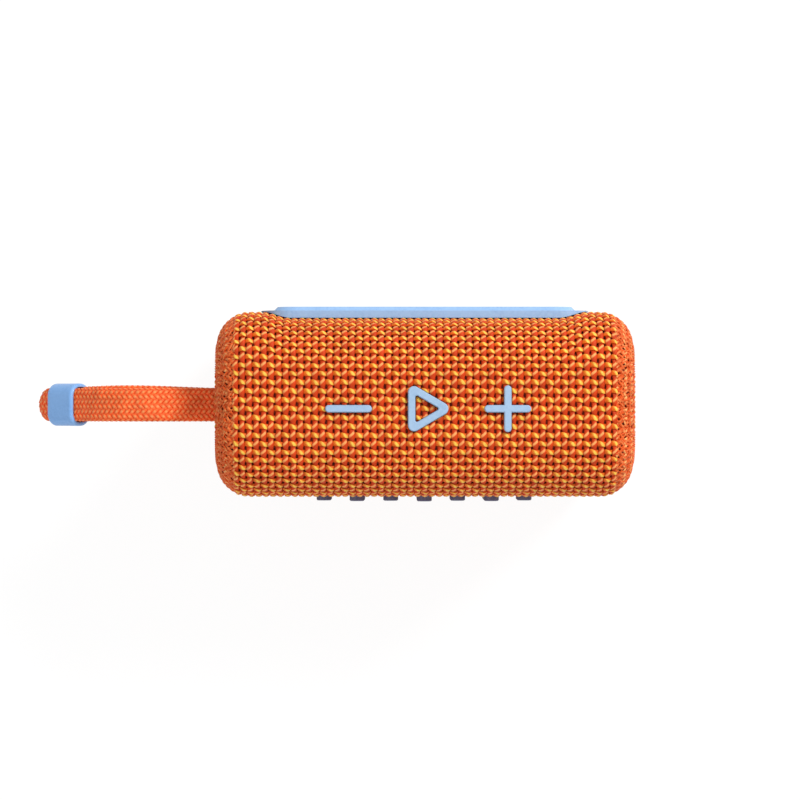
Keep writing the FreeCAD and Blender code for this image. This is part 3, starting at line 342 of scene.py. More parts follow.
def blank_yarns(count, steps, sides=SIDES):
    """Straight strips, one for each yarn, and three arrays: turn about it, share along it, its number."""
    bm = bmesh.new()
    bm.loops.layers.uv.new("UVMap")
    for number in range(count):
        lane = Matrix.Translation((0.5, 0.5, number))
        bmesh.ops.create_grid(bm, x_segments=sides, y_segments=steps, size=0.5, matrix=lane, calc_uvs=True)
    mesh = bpy.data.meshes.new("yarns")
    bm.to_mesh(mesh)
    bm.free()
    places = np.zeros(len(mesh.vertices) * 3)
    mesh.vertices.foreach_get("co", places)
    places = places.reshape(-1, 3)
    return mesh, places[:, 0] * 2 * math.pi, places[:, 1], np.rint(places[:, 2]).astype(int)


def drift(number, along, size, count):
    """Slow, small wandering of each yarn, different for every one."""
    phases = random.uniform(0, 2 * math.pi, (count, 3))
    waves = [np.sin(rate * along + phases[number, i]) for i, rate in enumerate((0.37, 1.13, 2.29))]
    return size * np.mean(waves, axis=0)


def corners_of(mesh):
    """The vertex numbers of each four-sided face."""
    loops = np.zeros(len(mesh.loops), np.int32)
    mesh.loops.foreach_get("vertex_index", loops)
    return loops.reshape(-1, 4)


def finish_cloth(name, mesh, places, lift, beat, room, closed=True):
    """Puts the vertices in place, cuts the cloth's openings, closes the cut ends, turns faces outwards.

    Each vertex also keeps how deep it lies in the cloth, and its beat, the count of crossings along it.
    """
    if room is not None:
        faces = corners_of(mesh)
        space = room(places)
        kept = space > 0
        crossing = kept[faces].any(axis=1) & ~kept[faces].all(axis=1)
        edge = np.unique(faces[crossing])
        edge = edge[~kept[edge]]
        step = 1e-5
        slope = np.stack([(room(places[edge] + step * axis) - room(places[edge] - step * axis)) / (2 * step)
                          for axis in np.eye(3)], axis=-1)
        slope /= np.maximum(np.linalg.norm(slope, axis=1, keepdims=True), 1e-6)
        places[edge] -= slope * space[edge, None]
        hidden = ~kept[faces].any(axis=1)
    mesh.vertices.foreach_set("co", places.astype(np.float32).ravel())
    for mark, values in (("sunk", np.clip(-lift / CLOTH_THICK, 0, 1)), ("beat", beat)):
        layer = mesh.attributes.new(mark, "FLOAT", "POINT")
        layer.data.foreach_set("value", values.astype(np.float32))
    bm = bmesh.new()
    bm.from_mesh(mesh)
    bm.faces.ensure_lookup_table()
    if room is not None:
        bmesh.ops.delete(bm, geom=[bm.faces[i] for i in np.nonzero(hidden)[0]], context="FACES")
    bmesh.ops.remove_doubles(bm, verts=bm.verts, dist=1e-6)
    bm.normal_update()
    if closed:
        bmesh.ops.holes_fill(bm, edges=[e for e in bm.edges if e.is_boundary], sides=0)
        turned_in = list(bm.faces) if bm.calc_volume(signed=True) < 0 else []
    else:
        middle = Vector((0, (FRONT + BACK) / 2, (TOP + BOTTOM) / 2))
        turned_in = [f for f in bm.faces if f.normal.dot(f.calc_center_median() - middle) < 0]
    bmesh.ops.reverse_faces(bm, faces=turned_in)
    for face in bm.faces:
        face.smooth = True
    bm.to_mesh(mesh)
    bm.free()
    mesh.name = name
    piece = bpy.data.objects.new(name, mesh)
    scene.collection.objects.link(piece)
    return piece


def section(turn, width, thick, crest):
    """Across and up on the outline of a two-ply yarn; crest is where on it one ply stands highest."""
    lobe = 1 + PLY_RELIEF * np.cos(2 * (turn - crest))
    return width / 2 * lobe * np.cos(turn), thick / 2 * lobe * np.sin(turn)


def warp_section(turn, beat, wander):
    """A warp is pinched between the rows, and spreads where it lies over or under a weft."""
    spread = np.cos(2 * math.pi * beat)
    crest = math.pi / 2 - math.pi * (beat - WARP_CREST)
    width = WARP_WIDTH * (1 + WARP_SPREAD * spread + wander)
    return section(turn, width, WARP_THICK * (1 - WARP_FLATTEN * spread), crest)


def weft_section(turn, beat, wander):
    """A weft is widest where it shows, and thins to both sides as it dives between the warps."""
    spread = 1 - WEFT_PINCH + WEFT_PINCH * np.cos(2 * math.pi * beat)
    crest = math.pi / 2 + math.pi * (beat - WEFT_CREST)
    return section(turn, WEFT_WIDTH * (spread + wander), WEFT_THICK, crest)


def warp_yarns(name, columns, crossings, start, room):
    """Thick yarns round the casing, one for each column; start is the first crossing."""
    mesh, turn, share, number = blank_yarns(len(columns), crossings * STEPS)
    column = np.array(columns)[number]
    crossing = start + share * crossings
    beat = crossing - 0.5 - column
    across, up = warp_section(-turn, beat, drift(number, crossing, WARP_UNEVEN, len(columns)))
    along = column * COLUMN + across + drift(number, crossing, WARP_DRIFT, len(columns))
    lift = CLOTH_MIDDLE + WARP_SWING * np.cos(math.pi * beat) + up
    return finish_cloth(name, mesh, over_casing(along, crossing * ROW, lift), lift, beat, room)


def weft_yarns(name, rows, crossings, start, room):
    """Finer yarns along the casing, one for each row; start is the first crossing."""
    mesh, turn, share, number = blank_yarns(len(rows), int(crossings * STEPS))
    row = np.array(rows)[number]
    crossing = start + share * crossings
    beat = crossing - row + 1
    across, up = weft_section(turn, beat, drift(number, crossing, WEFT_UNEVEN, len(rows)))
    around = (row + 0.5) * ROW - WEFT_SLANT * np.sin(math.pi * beat) + across
    around += drift(number, crossing, WEFT_DRIFT, len(rows))
    lift = CLOTH_MIDDLE + WEFT_SWING * np.cos(math.pi * beat) + up
    return finish_cloth(name, mesh, over_casing(crossing * COLUMN, around, lift), lift, beat, room)


HALF_COLUMNS = COLUMNS // 2
HALF_ROWS = ROWS // 2
WEFT_REACH = 2 * SLEEVE / COLUMN
THIRDS = ("one", "two", "three")
warp_edges = [-HALF_COLUMNS, -HALF_COLUMNS // 3, HALF_COLUMNS // 3 + 1, HALF_COLUMNS + 1]
weft_edges = [-HALF_ROWS, -HALF_ROWS // 3, HALF_ROWS // 3, HALF_ROWS]
warps = [warp_yarns(f"warp_yarns_{part}", range(first, last), ROWS, -HALF_ROWS, cloth_room)
         for part, first, last in zip(THIRDS, warp_edges, warp_edges[1:])]
wefts = [weft_yarns(f"weft_yarns_{part}", range(first, last), WEFT_REACH, -WEFT_REACH / 2, cloth_room)
         for part, first, last in zip(THIRDS, weft_edges, weft_edges[1:])]
island_warps = warp_yarns("play_window_warps", range(-2, 3), 6, -3, island_room)
island_wefts = weft_yarns("play_window_wefts", range(-3, 2), 7, -3.5, island_room)


def srgb(red, green, blue):
    """A paint's colour, given as it is seen on a display, from 0 to 255."""
    linear = []
    for level in (red, green, blue):
        share = level / 255
        linear.append(share / 12.92 if share <= 0.04045 else ((share + 0.055) / 1.055) ** 2.4)
    return (*linear, 1.0)


def yarn_fibres_and_glint():
    """A group for a yarn's twist: its fine fibres, the crest of its paler ply, which also carries a painted
    highlight, and the one spot of that where the painted highlight is strongest.
    """
    tree = bpy.data.node_groups.new("yarn_fibres_and_glint", "ShaderNodeTree")
    for name in ("Round", "Beat", "Twist", "Start", "Spot"):
        tree.interface.new_socket(name, in_out="INPUT", socket_type="NodeSocketFloat")
    for name in ("Fibre", "Crest", "Glint"):
        tree.interface.new_socket(name, in_out="OUTPUT", socket_type="NodeSocketFloat")
    given = tree.nodes.new("NodeGroupInput").outputs
    turn = maths(tree, "MULTIPLY", given["Round"], 2 * math.pi)
    twisted = maths(tree, "MULTIPLY", given["Beat"], given["Twist"])
    after = maths(tree, "SUBTRACT", twisted, given["Start"])
    laid = maths(tree, "MULTIPLY_ADD", after, -math.pi, turn)
    crest = maths(tree, "COSINE", laid)
    sine = maths(tree, "SINE", laid)
    nearby = maths(tree, "SUBTRACT", given["Beat"], given["Spot"])
    phase = maths(tree, "MULTIPLY", nearby, math.pi)
    glint = maths(tree, "COSINE", phase)
    lines = add(tree, "CombineXYZ", {0: crest, 1: sine}).outputs[0]
    lines = add(tree, "VectorMath", {0: lines, 1: (3.6, 3.6, 1.0)}, operation="MULTIPLY").outputs[0]
    place = add(tree, "VectorMath", {0: add(tree, "TexCoord").outputs["Object"], 1: (330, 330, 330)},
                operation="MULTIPLY").outputs[0]
    lines = add(tree, "VectorMath", {0: lines, 1: place}, operation="ADD").outputs[0]
    fibre = add(tree, "TexNoise", {"Vector": lines, "Scale": 1.0, "Detail": 3.0, "Roughness": 0.6})
    out = tree.nodes.new("NodeGroupOutput").inputs
    tree.links.new(fibre.outputs[0], out["Fibre"])
    tree.links.new(crest, out["Crest"])
    tree.links.new(glint, out["Glint"])
    return tree


def mix(tree, share, first, second, blend="MIX"):
    return add(tree, "Mix", {0: share, 6: first, 7: second}, data_type="RGBA", blend_type=blend).outputs[2]


def span(tree, value, low, high, to_low=0.0, to_high=1.0):
    """The value, taken from one range to another and held within it."""
    return add(tree, "MapRange", {"Value": value, "From Min": low, "From Max": high, "To Min": to_low,
                                  "To Max": to_high}).outputs[0]


FIBRES_AND_GLINT = yarn_fibres_and_glint()


def yarn_material(name, start, spot, body, paler_ply_and_highlight, dive_shade, rough, reach=(0.35, 0.95), dive=(0.24, 0.62),
                  fade=(0.5, 0.2), twist=1.0):
    """Two-ply yarn: its body; a paler crest, partly the paler ply's own colour and partly a painted
    highlight strongest at one glint spot; and painted shade where it dives deep into the cloth.
    """
    material, tree, surface = new_material(name)
    fibres = add(tree, "Group", node_tree=FIBRES_AND_GLINT)
    around = add(tree, "SeparateXYZ", {0: add(tree, "UVMap").outputs[0]}).outputs["X"]
    beat = add(tree, "Attribute", attribute_name="beat").outputs["Fac"]
    tree.links.new(around, fibres.inputs["Round"])
    tree.links.new(beat, fibres.inputs["Beat"])
    fibres.inputs["Twist"].default_value = twist
    fibres.inputs["Start"].default_value = start
    fibres.inputs["Spot"].default_value = spot
    place = add(tree, "TexCoord").outputs["Object"]
    patch = add(tree, "TexNoise", {"Vector": place, "Scale": 420.0, "Detail": 2.0}).outputs[0]
    sunk = add(tree, "Attribute", attribute_name="sunk").outputs["Fac"]
    # The crest's paler colour, held to the glint spot, is a painted highlight (on the weft partly its paler
    # ply); the colour mixed in by depth is painted shade where the yarn sinks into the cloth.
    crest = span(tree, fibres.outputs["Crest"], *reach)
    glint = span(tree, fibres.outputs["Glint"], 0.2, 0.9, 0.3, 1.0)
    crest = maths(tree, "MULTIPLY", crest, glint)
    crest = maths(tree, "MULTIPLY", crest, span(tree, sunk, *fade))
    colour = mix(tree, crest, body, paler_ply_and_highlight)
    colour = mix(tree, span(tree, sunk, *dive), colour, dive_shade)
    tone = span(tree, patch, 0.3, 0.7, 0.90, 1.14)
    shade = span(tree, fibres.outputs["Fibre"], 0.3, 0.7, 0.84, 1.18)
    both = maths(tree, "MULTIPLY", tone, shade)
    grey = add(tree, "CombineXYZ", {0: both, 1: both, 2: both}).outputs[0]
    colour = mix(tree, 1.0, colour, grey, "MULTIPLY")
    bump = add(tree, "Bump", {"Height": fibres.outputs["Fibre"], "Strength": 0.6, "Distance": 0.00008})
    shader = add(tree, "BsdfPrincipled", {"Base Color": colour, "Roughness": rough,
                                          "Normal": bump.outputs[0], "Specular IOR Level": 0.24,
                                          "Sheen Weight": 0.02, "Sheen Roughness": 0.4})
    tree.links.new(shader.outputs[0], surface)
    return material


def dress(pieces, body, material):
    """Gives pieces of the cover their material, and the body that they ride on."""
    for piece in pieces:
        piece.data.materials.append(material)
        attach(piece, body)


# The pale second colours of warp and weft are painted highlights on their floats, the weft's partly its
# paler ply; the dark third colours are painted shade where the yarns dive.
warp_material = yarn_material("orange_warp_yarn", WARP_CREST + 0.5, WARP_CREST, srgb(212, 66, 12),
                              srgb(255, 172, 100), srgb(192, 50, 12), 0.6, reach=(0.70, 1.0),
                              dive=(0.12, 0.54))
weft_material = yarn_material("amber_weft_yarn", WEFT_CREST - 0.5, 0.22, srgb(234, 106, 12),
                              srgb(255, 208, 84), srgb(196, 60, 14), 0.42, reach=(0.30, 0.95),
                              dive=(0.24, 0.58))
dress(warps, "casing", warp_material)
dress(wefts, "casing", weft_material)
dress([island_warps], "play_key", warp_material)
dress([island_wefts], "play_key", weft_material)
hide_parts("play_key_fabric")

# ---- ends of the cover ----
# Each end is a flat patch of the same cloth, laid yarn by yarn inside the rounded edge. Fine slanting
# threads bind the sleeve's end to it, over a two-ply cord that is sewn round the patch.

PATCH_INSET = END_ROUND - 0.0002
END_WARP_DRIFT = 0.00006
END_WEFT_DRIFT = 0.00007
HEM_WIDTH = 0.0011
HEM_LAY = 0.0021
BINDING_COUNT = 190
BINDING_STEPS = 22
BINDING_PITCH = 0.00125
BINDING_LAP = 0.0008
BINDING_WIDTH = 0.00088
BINDING_THICK = 0.00046
BINDING_SLANT = 0.75
BINDING_LIFT = -0.00046
BINDING_SWING = 0.00014
BINDING_UNEVEN = 0.5
BINDING_SWAY = 0.0005


def on_end(side, across, up, lift):
    """A place on the flat end of the casing, seen from outside with across to the right."""
    y = side * across + (FRONT + BACK) / 2
    return np.stack([side * (HALF_LENGTH + lift), y, up + (TOP + BOTTOM) / 2], axis=-1)


def patch_room(places):
    """How far inside the end patch a place is."""
    v = places[:, 1] - (FRONT + BACK) / 2
    w = places[:, 2] - (TOP + BOTTOM) / 2
    outline = from_rounded(v, w, (BACK - FRONT) / 2 - PATCH_INSET, (TOP - BOTTOM) / 2 - PATCH_INSET,
                           EDGE_ROUND - PATCH_INSET)
    return np.minimum(-outline, cloth_room(places))


def end_warps(name, side):
    columns = range(-8, 9)
    crossings = 36
    mesh, turn, share, number = blank_yarns(len(columns), crossings * STEPS)
    column = np.array(columns)[number]
    crossing = (share - 0.5) * crossings
    beat = crossing - 0.5 - column
    across, up = warp_section(-turn, beat, drift(number, crossing, WARP_UNEVEN, len(columns)))
    lift = CLOTH_MIDDLE + WARP_SWING * np.cos(math.pi * beat) + up
    across += column * COLUMN + drift(number, crossing, END_WARP_DRIFT, len(columns))
    return finish_cloth(name, mesh, on_end(side, across, crossing * ROW, lift), lift, beat, patch_room)


def end_wefts(name, side):
    rows = range(-17, 17)
    crossings = 17
    mesh, turn, share, number = blank_yarns(len(rows), crossings * STEPS)
    row = np.array(rows)[number]
    crossing = (share - 0.5) * crossings
    beat = crossing - row + 1
    across, up = weft_section(turn, beat, drift(number, crossing, WEFT_UNEVEN, len(rows)))
    lift = CLOTH_MIDDLE + WEFT_SWING * np.cos(math.pi * beat) + up
    raised = (row + 0.5) * ROW - WEFT_SLANT * np.sin(math.pi * beat) + across
    raised += drift(number, crossing, END_WEFT_DRIFT, len(rows))
    return finish_cloth(name, mesh, on_end(side, crossing * COLUMN, raised, lift), lift, beat, patch_room)


def binding(name, side, way):
    """The fine threads that bind the sleeve's end: slanting ones over and under those of the other way."""
    mesh, turn, share, number = blank_yarns(BINDING_COUNT, BINDING_STEPS, sides=6)
    out = share * (REACH - SLEEVE + BINDING_LAP)
    beat = out / BINDING_PITCH
    width = BINDING_WIDTH * (1 + drift(number, beat, BINDING_UNEVEN, BINDING_COUNT))
    across = width / 2 * np.cos(turn) * side * way
    up = BINDING_THICK / 2 * np.sin(turn) * side * way
    sway = drift(number, beat, BINDING_SWAY, BINDING_COUNT)
    around = (number / BINDING_COUNT - 0.5) * GIRTH + way * BINDING_SLANT * out + across + sway
    lift = BINDING_LIFT + way * BINDING_SWING * np.cos(math.pi * (beat + way * number)) + up
    along = side * (SLEEVE - BINDING_LAP / 2 + out)
    return finish_cloth(name, mesh, over_casing(along, around, lift), lift, beat, cloth_room)


def hem(name, side):
    """The sewn cord: two plies laid together round the edge of the patch."""
    turns = round(GIRTH / HEM_LAY)
    mesh, turn, share, number = blank_yarns(2, turns * 8)
    laid = share * turns * 2 * math.pi + number * math.pi
    out = HEM_WIDTH / 4 * np.cos(laid) + HEM_WIDTH / 3.4 * np.cos(turn)
    up = HEM_WIDTH / 4 * np.sin(laid) + HEM_WIDTH / 3.4 * np.sin(turn)
    around = (share - 0.5) * (GIRTH - 1e-9)
    lift = up - HEM_WIDTH / 2
    places = over_casing(np.full_like(out, side * REACH), around, lift)
    flat = over_casing(np.full_like(out, side * STRAIGHT), around, np.zeros_like(out))
    middle = np.stack([places[:, 0], flat[:, 1], flat[:, 2]], axis=-1)
    outward = (middle - places) / np.linalg.norm(middle - places, axis=1, keepdims=True)
    return finish_cloth(name, mesh, places + outward * out[:, None], lift, share * turns, None)


ENDS = (("left", -1), ("right", 1))
patch_warps = [end_warps(f"end_{side}_warps", way) for side, way in ENDS]
patch_wefts = [end_wefts(f"end_{side}_wefts", way) for side, way in ENDS]
hems = [hem(f"end_{side}_hem", way) for side, way in ENDS]
bindings = [binding(f"end_{side}_binding_{lean}", way, turned)
            for side, way in ENDS for lean, turned in (("up", 1), ("down", -1))]

# The binding thread's and the hem's pale second colours are painted highlights, and their dark third
# colours painted shade where they sink.
binding_material = yarn_material("pale_binding_thread", 0.0, 0.0, srgb(224, 88, 26), srgb(252, 184, 112),
                                 srgb(186, 62, 22), 0.6, reach=(-0.2, 0.9))
hem_material = yarn_material("hem_yarn", 0.0, 0.0, srgb(224, 82, 24), srgb(250, 146, 74),
                             srgb(130, 38, 14), 0.62)

dress(patch_warps, "casing", warp_material)
dress(patch_wefts, "casing", weft_material)
dress(bindings, "casing", binding_material)
dress(hems, "casing", hem_material)

# ---- backing of the cover ----
# A thin brown knitted backing is glued under the yarns, and is what shows between them. It is cut from
# one sleeve and two ends, and stretched over the casing with the same openings.

BACKING_LIFT = -0.00119
BACKING_ALONG = 128
BACKING_AROUND = 270
END_CELLS = (26, 60)
BACKING_LAP = 0.0005
PAD_PROUD = 0.00008


def backing_sheet():
    """The sleeve and both ends as one sheet."""
    bm = bmesh.new()
    bm.loops.layers.uv.new("UVMap")
    sleeve = Matrix.Translation((0.5, 0.5, 0))
    bmesh.ops.create_grid(bm, x_segments=BACKING_ALONG, y_segments=BACKING_AROUND, size=0.5, matrix=sleeve,
                          calc_uvs=True)
    for number in (1, 2):
        lane = Matrix.Translation((0.5, 0.5, number))
        bmesh.ops.create_grid(bm, x_segments=END_CELLS[0], y_segments=END_CELLS[1], size=0.5, matrix=lane,
                              calc_uvs=True)
    mesh = bpy.data.meshes.new("backing")
    bm.to_mesh(mesh)
    bm.free()
    share = np.zeros(len(mesh.vertices) * 3)
    mesh.vertices.foreach_get("co", share)
    across, up, number = share.reshape(-1, 3).T
    lift = np.full_like(across, BACKING_LIFT)
    along = (across - 0.5) * 2 * REACH
    around = (0.5 - up) * (GIRTH - 1e-9)
    places = over_casing(along, around, lift)
    side = np.where(number > 1.5, 1.0, -1.0)
    width = BACK - FRONT - 2 * PATCH_INSET + 0.002
    height = TOP - BOTTOM - 2 * PATCH_INSET + 0.002
    ends = on_end(side, (across - 0.5) * width, (up - 0.5) * height, lift)
    places = np.where(number[:, None] > 0.5, ends, places)

    def room(spots):
        sleeve_part = np.abs(spots[:, 0]) < HALF_LENGTH + BACKING_LIFT - 1e-5
        v = spots[:, 1] - (FRONT + BACK) / 2
        w = spots[:, 2] - (TOP + BOTTOM) / 2
        outline = from_rounded(v, w, (BACK - FRONT) / 2 - END_ROUND, (TOP - BOTTOM) / 2 - END_ROUND,
                               EDGE_ROUND - END_ROUND)
        return np.minimum(cloth_room(spots), np.where(sleeve_part, FAR, BACKING_LAP - outline))

    return finish_cloth("cover_backing", mesh, places, lift, lift, room, closed=False)


backing = backing_sheet()
material, tree, surface = new_material("brown_knitted_backing")
uv = add(tree, "UVMap").outputs[0]
loops = add(tree, "Mapping", {"Vector": uv, "Scale": (190.0, 400.0, 1.0)}).outputs[0]
stitch = add(tree, "TexVoronoi", {"Vector": loops, "Scale": 1.0}).outputs["Distance"]
colour = mix(tree, span(tree, stitch, 0.1, 0.6), srgb(224, 108, 80), srgb(164, 70, 52))
bump = add(tree, "Bump", {"Height": stitch, "Strength": 0.6, "Distance": 0.0001})
shader = add(tree, "BsdfPrincipled", {"Base Color": colour, "Roughness": 0.8, "Normal": bump.outputs[0]})
tree.links.new(shader.outputs[0], surface)
backing.data.materials.append(material)

# Under the window of the play sign the same backing is a small glued pad.
pad_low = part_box("play_key_fabric")[0].z
pad_high = TOP + BACKING_LIFT + PAD_PROUD
pad_bm = bmesh.new()
for u, v in play_corners(STROKE_WIDTH - PLAY_ROUND + PLAY_INNER_ROUND):
    corner = Matrix.Translation((KEY_X["play"] + u, KEY_Y + v, (pad_low + pad_high) / 2))
    bmesh.ops.create_cone(pad_bm, cap_ends=True, segments=24, radius1=PLAY_INNER_ROUND - CUT_GAP,
                          radius2=PLAY_INNER_ROUND - CUT_GAP, depth=pad_high - pad_low, matrix=corner)
bmesh.ops.delete(pad_bm, geom=pad_bm.edges, context="EDGES_FACES")
hull = bmesh.ops.convex_hull(pad_bm, input=pad_bm.verts)
bmesh.ops.delete(pad_bm, geom=[g for g in hull["geom_interior"] if isinstance(g, bmesh.types.BMVert)],
                 context="VERTS")
window_pad = new_piece("play_window_pad", pad_bm, material)
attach(window_pad, "play_key")
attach(backing, "casing")
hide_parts("fabric_cover")

# ---- carry loop ----
# A flat hollow braid, woven round a soft core. It leaves the socket in the left end, folds back on
# itself at the tip and goes back in below; both ends are moulded into an anchor inside.

LOOP_ROUTE = [
    (-0.0400, 0.0572), (-0.0465, 0.0572), (-0.0565, 0.0604), (-0.0665, 0.0579), (-0.0733, 0.05175),
    (-0.07889, 0.04706), (-0.0826, 0.0440), (-0.0809, 0.0421), (-0.07735, 0.04522), (-0.07176, 0.04991),
    (-0.0645, 0.0535), (-0.0555, 0.0513), (-0.0465, 0.0528), (-0.0400, 0.0528),
]
CORD_WIDTH = 0.00725
CORD_THICK = 0.0018
CARRIERS = 16
PLAIT = 0.00115
STRAND_WIDTH = 0.00092
STRAND_THICK = 0.00052
STRAND_SWING = 0.00018
CORE_SINK = 0.00062
NOSE_DEPTH = 0.0022
NOSE_LENGTH = 0.0030
NOSE_LEAN = (0.766, 0.643)
STRAY = 0.0006
STRAND_STEP = 0.00036
STRAND_UNEVEN = 0.06


def smooth_line(points):
    """The line of a smooth spline that is drawn to these control points."""
    curve = bpy.data.curves.new("route", "CURVE")
    curve.dimensions = "3D"
    curve.resolution_u = 24
    spline = curve.splines.new("NURBS")
    spline.points.add(len(points) - 1)
    for point, (x, z) in zip(spline.points, points):
        point.co = (x, 0, z, 1)
    spline.order_u = 3
    spline.use_endpoint_u = True
    route = bpy.data.objects.new("route", curve)
    scene.collection.objects.link(route)
    bpy.context.view_layer.update()
    line = bpy.data.meshes.new_from_object(route)
    places = np.array([v.co for v in line.vertices])
    bpy.data.objects.remove(route)
    return places


loop_line = smooth_line(LOOP_ROUTE)
loop_runs = np.concatenate([[0], np.cumsum(np.linalg.norm(np.diff(loop_line, axis=0), axis=1))])
loop_length = loop_runs[-1]
tip = int(np.argmin(loop_line[:, 0]))
CORD_ROUND = 2 * (CORD_WIDTH - CORD_THICK) + math.pi * CORD_THICK


def over_cord(round_share, along, lift):
    """A place on the flat cord: a share of the way round it, along its line, lift above its face."""
    flat = CORD_WIDTH - CORD_THICK
    bow = math.pi * CORD_THICK / 2
    run = (round_share % 1) * CORD_ROUND
    first = np.clip(run, 0, flat)
    turn_one = np.clip(run - flat, 0, bow) / bow * math.pi
    back = np.clip(run - flat - bow, 0, flat)
    turn_two = np.clip(run - 2 * flat - bow, 0, bow) / bow * math.pi
    angle = turn_one + turn_two
    radius = CORD_THICK / 2 + lift
    across = -flat / 2 + first - back + radius * np.sin(angle)
    up = radius * np.cos(angle)
    along = np.clip(along, 0, loop_length)
    x, z = (np.interp(along, loop_runs, loop_line[:, i]) for i in (0, 2))
    ahead = np.clip(along + 0.0003, 0, loop_length)
    behind = np.clip(along - 0.0003, 0, loop_length)
    dx, dz = (np.interp(ahead, loop_runs, loop_line[:, i]) - np.interp(behind, loop_runs, loop_line[:, i])
              for i in (0, 2))
    size = np.hypot(dx, dz)
    beyond = (along - loop_runs[tip]) / (loop_length - loop_runs[tip])
    stray = STRAY * np.sin(math.pi * np.clip(beyond, 0, 1)) ** 2
    near_tip = np.exp(-((along - loop_runs[tip]) / NOSE_LENGTH) ** 2)
    curl = NOSE_DEPTH * near_tip * (2 * across / CORD_WIDTH) ** 2
    x = x + up * dz / size + curl * NOSE_LEAN[0]
    return np.stack([x, across + stray, z - up * dx / size + curl * NOSE_LEAN[1]], axis=-1)


def strands(name, way):
    """The strands that lean one way. Each goes over two of the others and under two."""
    mesh, turn, share, number = blank_yarns(CARRIERS, round(loop_length / STRAND_STEP), sides=6)
    along = share * loop_length
    crossed = 2 * along / PLAIT
    total = 2 * number + way * crossed
    over = way * np.cos(math.pi / 2 * (total - 0.5))
    lean = math.atan2(CORD_ROUND / CARRIERS, PLAIT)
    across = STRAND_WIDTH / 2 * np.cos(turn) * (1 + drift(number, crossed, STRAND_UNEVEN, CARRIERS))
    up = STRAND_THICK / 2 * np.sin(turn)
    round_share = (number + way * along / PLAIT) / CARRIERS + across * math.cos(lean) / CORD_ROUND
    lift = STRAND_SWING * over - STRAND_SWING - STRAND_THICK / 2 + up
    places = over_cord(round_share, along - way * across * math.sin(lean), lift)
    return finish_cloth(name, mesh, places, lift, crossed - way / 2, None)


core_mesh, turn, share, number = blank_yarns(1, 240, sides=32)
core_places = over_cord(-turn / (2 * math.pi), share * loop_length, np.full_like(turn, -CORE_SINK))
core = finish_cloth("loop_core", core_mesh, core_places, np.zeros_like(turn), share * 60, None)
braid = [strands("loop_braid_one", 1), strands("loop_braid_two", -1)]
# The braid's pale second colour is a painted highlight on the top of each float, and its dark third colour
# painted shade in the gaps where strands dive.
braid_yarn = yarn_material("orange_braid_strand", -0.5, 0.0, srgb(255, 92, 32), srgb(255, 160, 96),
                           srgb(200, 40, 10), 0.42, reach=(0.45, 1.0), dive=(0.16, 0.40),
                           fade=(0.30, 0.12), twist=0.0)
core.data.materials.append(yarn_material("orange_cord_core", 0.0, 0.0, srgb(150, 46, 22),
                                         srgb(170, 60, 30), srgb(120, 34, 18), 0.8))
for piece in [core, *braid]:
    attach(piece, "casing")
for piece in braid:
    piece.data.materials.append(braid_yarn)
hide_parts("loop_cord")

# The collar is a moulded rubber band with round sides, slipped over both runs near the tip.

COLLAR_MIDDLE = Vector((-0.07600, 0, 0.04790))
COLLAR_SIZE = (0.0074, 0.00905, 0.0060)
COLLAR_TILT = math.radians(-40)
COLLAR_WALL = 0.00075
COLLAR_ROUND = 0.0026
COLLAR_RIM = 0.00064

collar_bm = bmesh.new()
bmesh.ops.create_cube(collar_bm, size=1.0, matrix=Matrix.Diagonal((*COLLAR_SIZE, 1.0)))
long_edges = [e for e in collar_bm.edges if abs(e.verts[0].co.x - e.verts[1].co.x) > COLLAR_SIZE[0] / 2]
bmesh.ops.bevel(collar_bm, geom=long_edges, offset=COLLAR_ROUND, segments=8, profile=0.5,
                affect="EDGES", material=-1)
ends = [f for f in collar_bm.faces if abs(f.normal.x) > 0.9]
bmesh.ops.delete(collar_bm, geom=ends, context="FACES_ONLY")
bmesh.ops.subdivide_edges(collar_bm, edges=[e for e in collar_bm.edges if not e.is_boundary], cuts=6)
bmesh.ops.recalc_face_normals(collar_bm, faces=collar_bm.faces)
bmesh.ops.solidify(collar_bm, geom=collar_bm.faces, thickness=COLLAR_WALL)
half_collar = Vector(COLLAR_SIZE) / 2
outer_rims = [e for e in collar_bm.edges if e.calc_face_angle(0) > 1.0 and all(
    abs(abs(v.co.x) - half_collar.x) < 1e-6
    and from_rounded(v.co.y, v.co.z, half_collar.y, half_collar.z, COLLAR_ROUND) > -COLLAR_WALL / 2
    for v in e.verts)]
bmesh.ops.bevel(collar_bm, geom=outer_rims, offset=COLLAR_RIM, segments=6, profile=0.5, affect="EDGES",
                material=-1)
collar_turn = Matrix.Translation(COLLAR_MIDDLE) @ Matrix.Rotation(COLLAR_TILT, 4, "Y")
bmesh.ops.transform(collar_bm, matrix=collar_turn, verts=collar_bm.verts)
bmesh.ops.recalc_face_normals(collar_bm, faces=collar_bm.faces)
for face in collar_bm.faces:
    face.smooth = True
collar = new_piece("loop_collar_band", collar_bm)
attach(collar, "casing")
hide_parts("loop_collar")

# ---- signs on the side keys ----
# The two round keys in the side strip have a sign moulded in darker rubber, level with their face: the
# usual broken ring for power, and a dot between two arcs for pairing.

SIGN_STROKE = 0.00042
SIGN_SINK = 0.00030
SIGN_PROUD = 0.00002


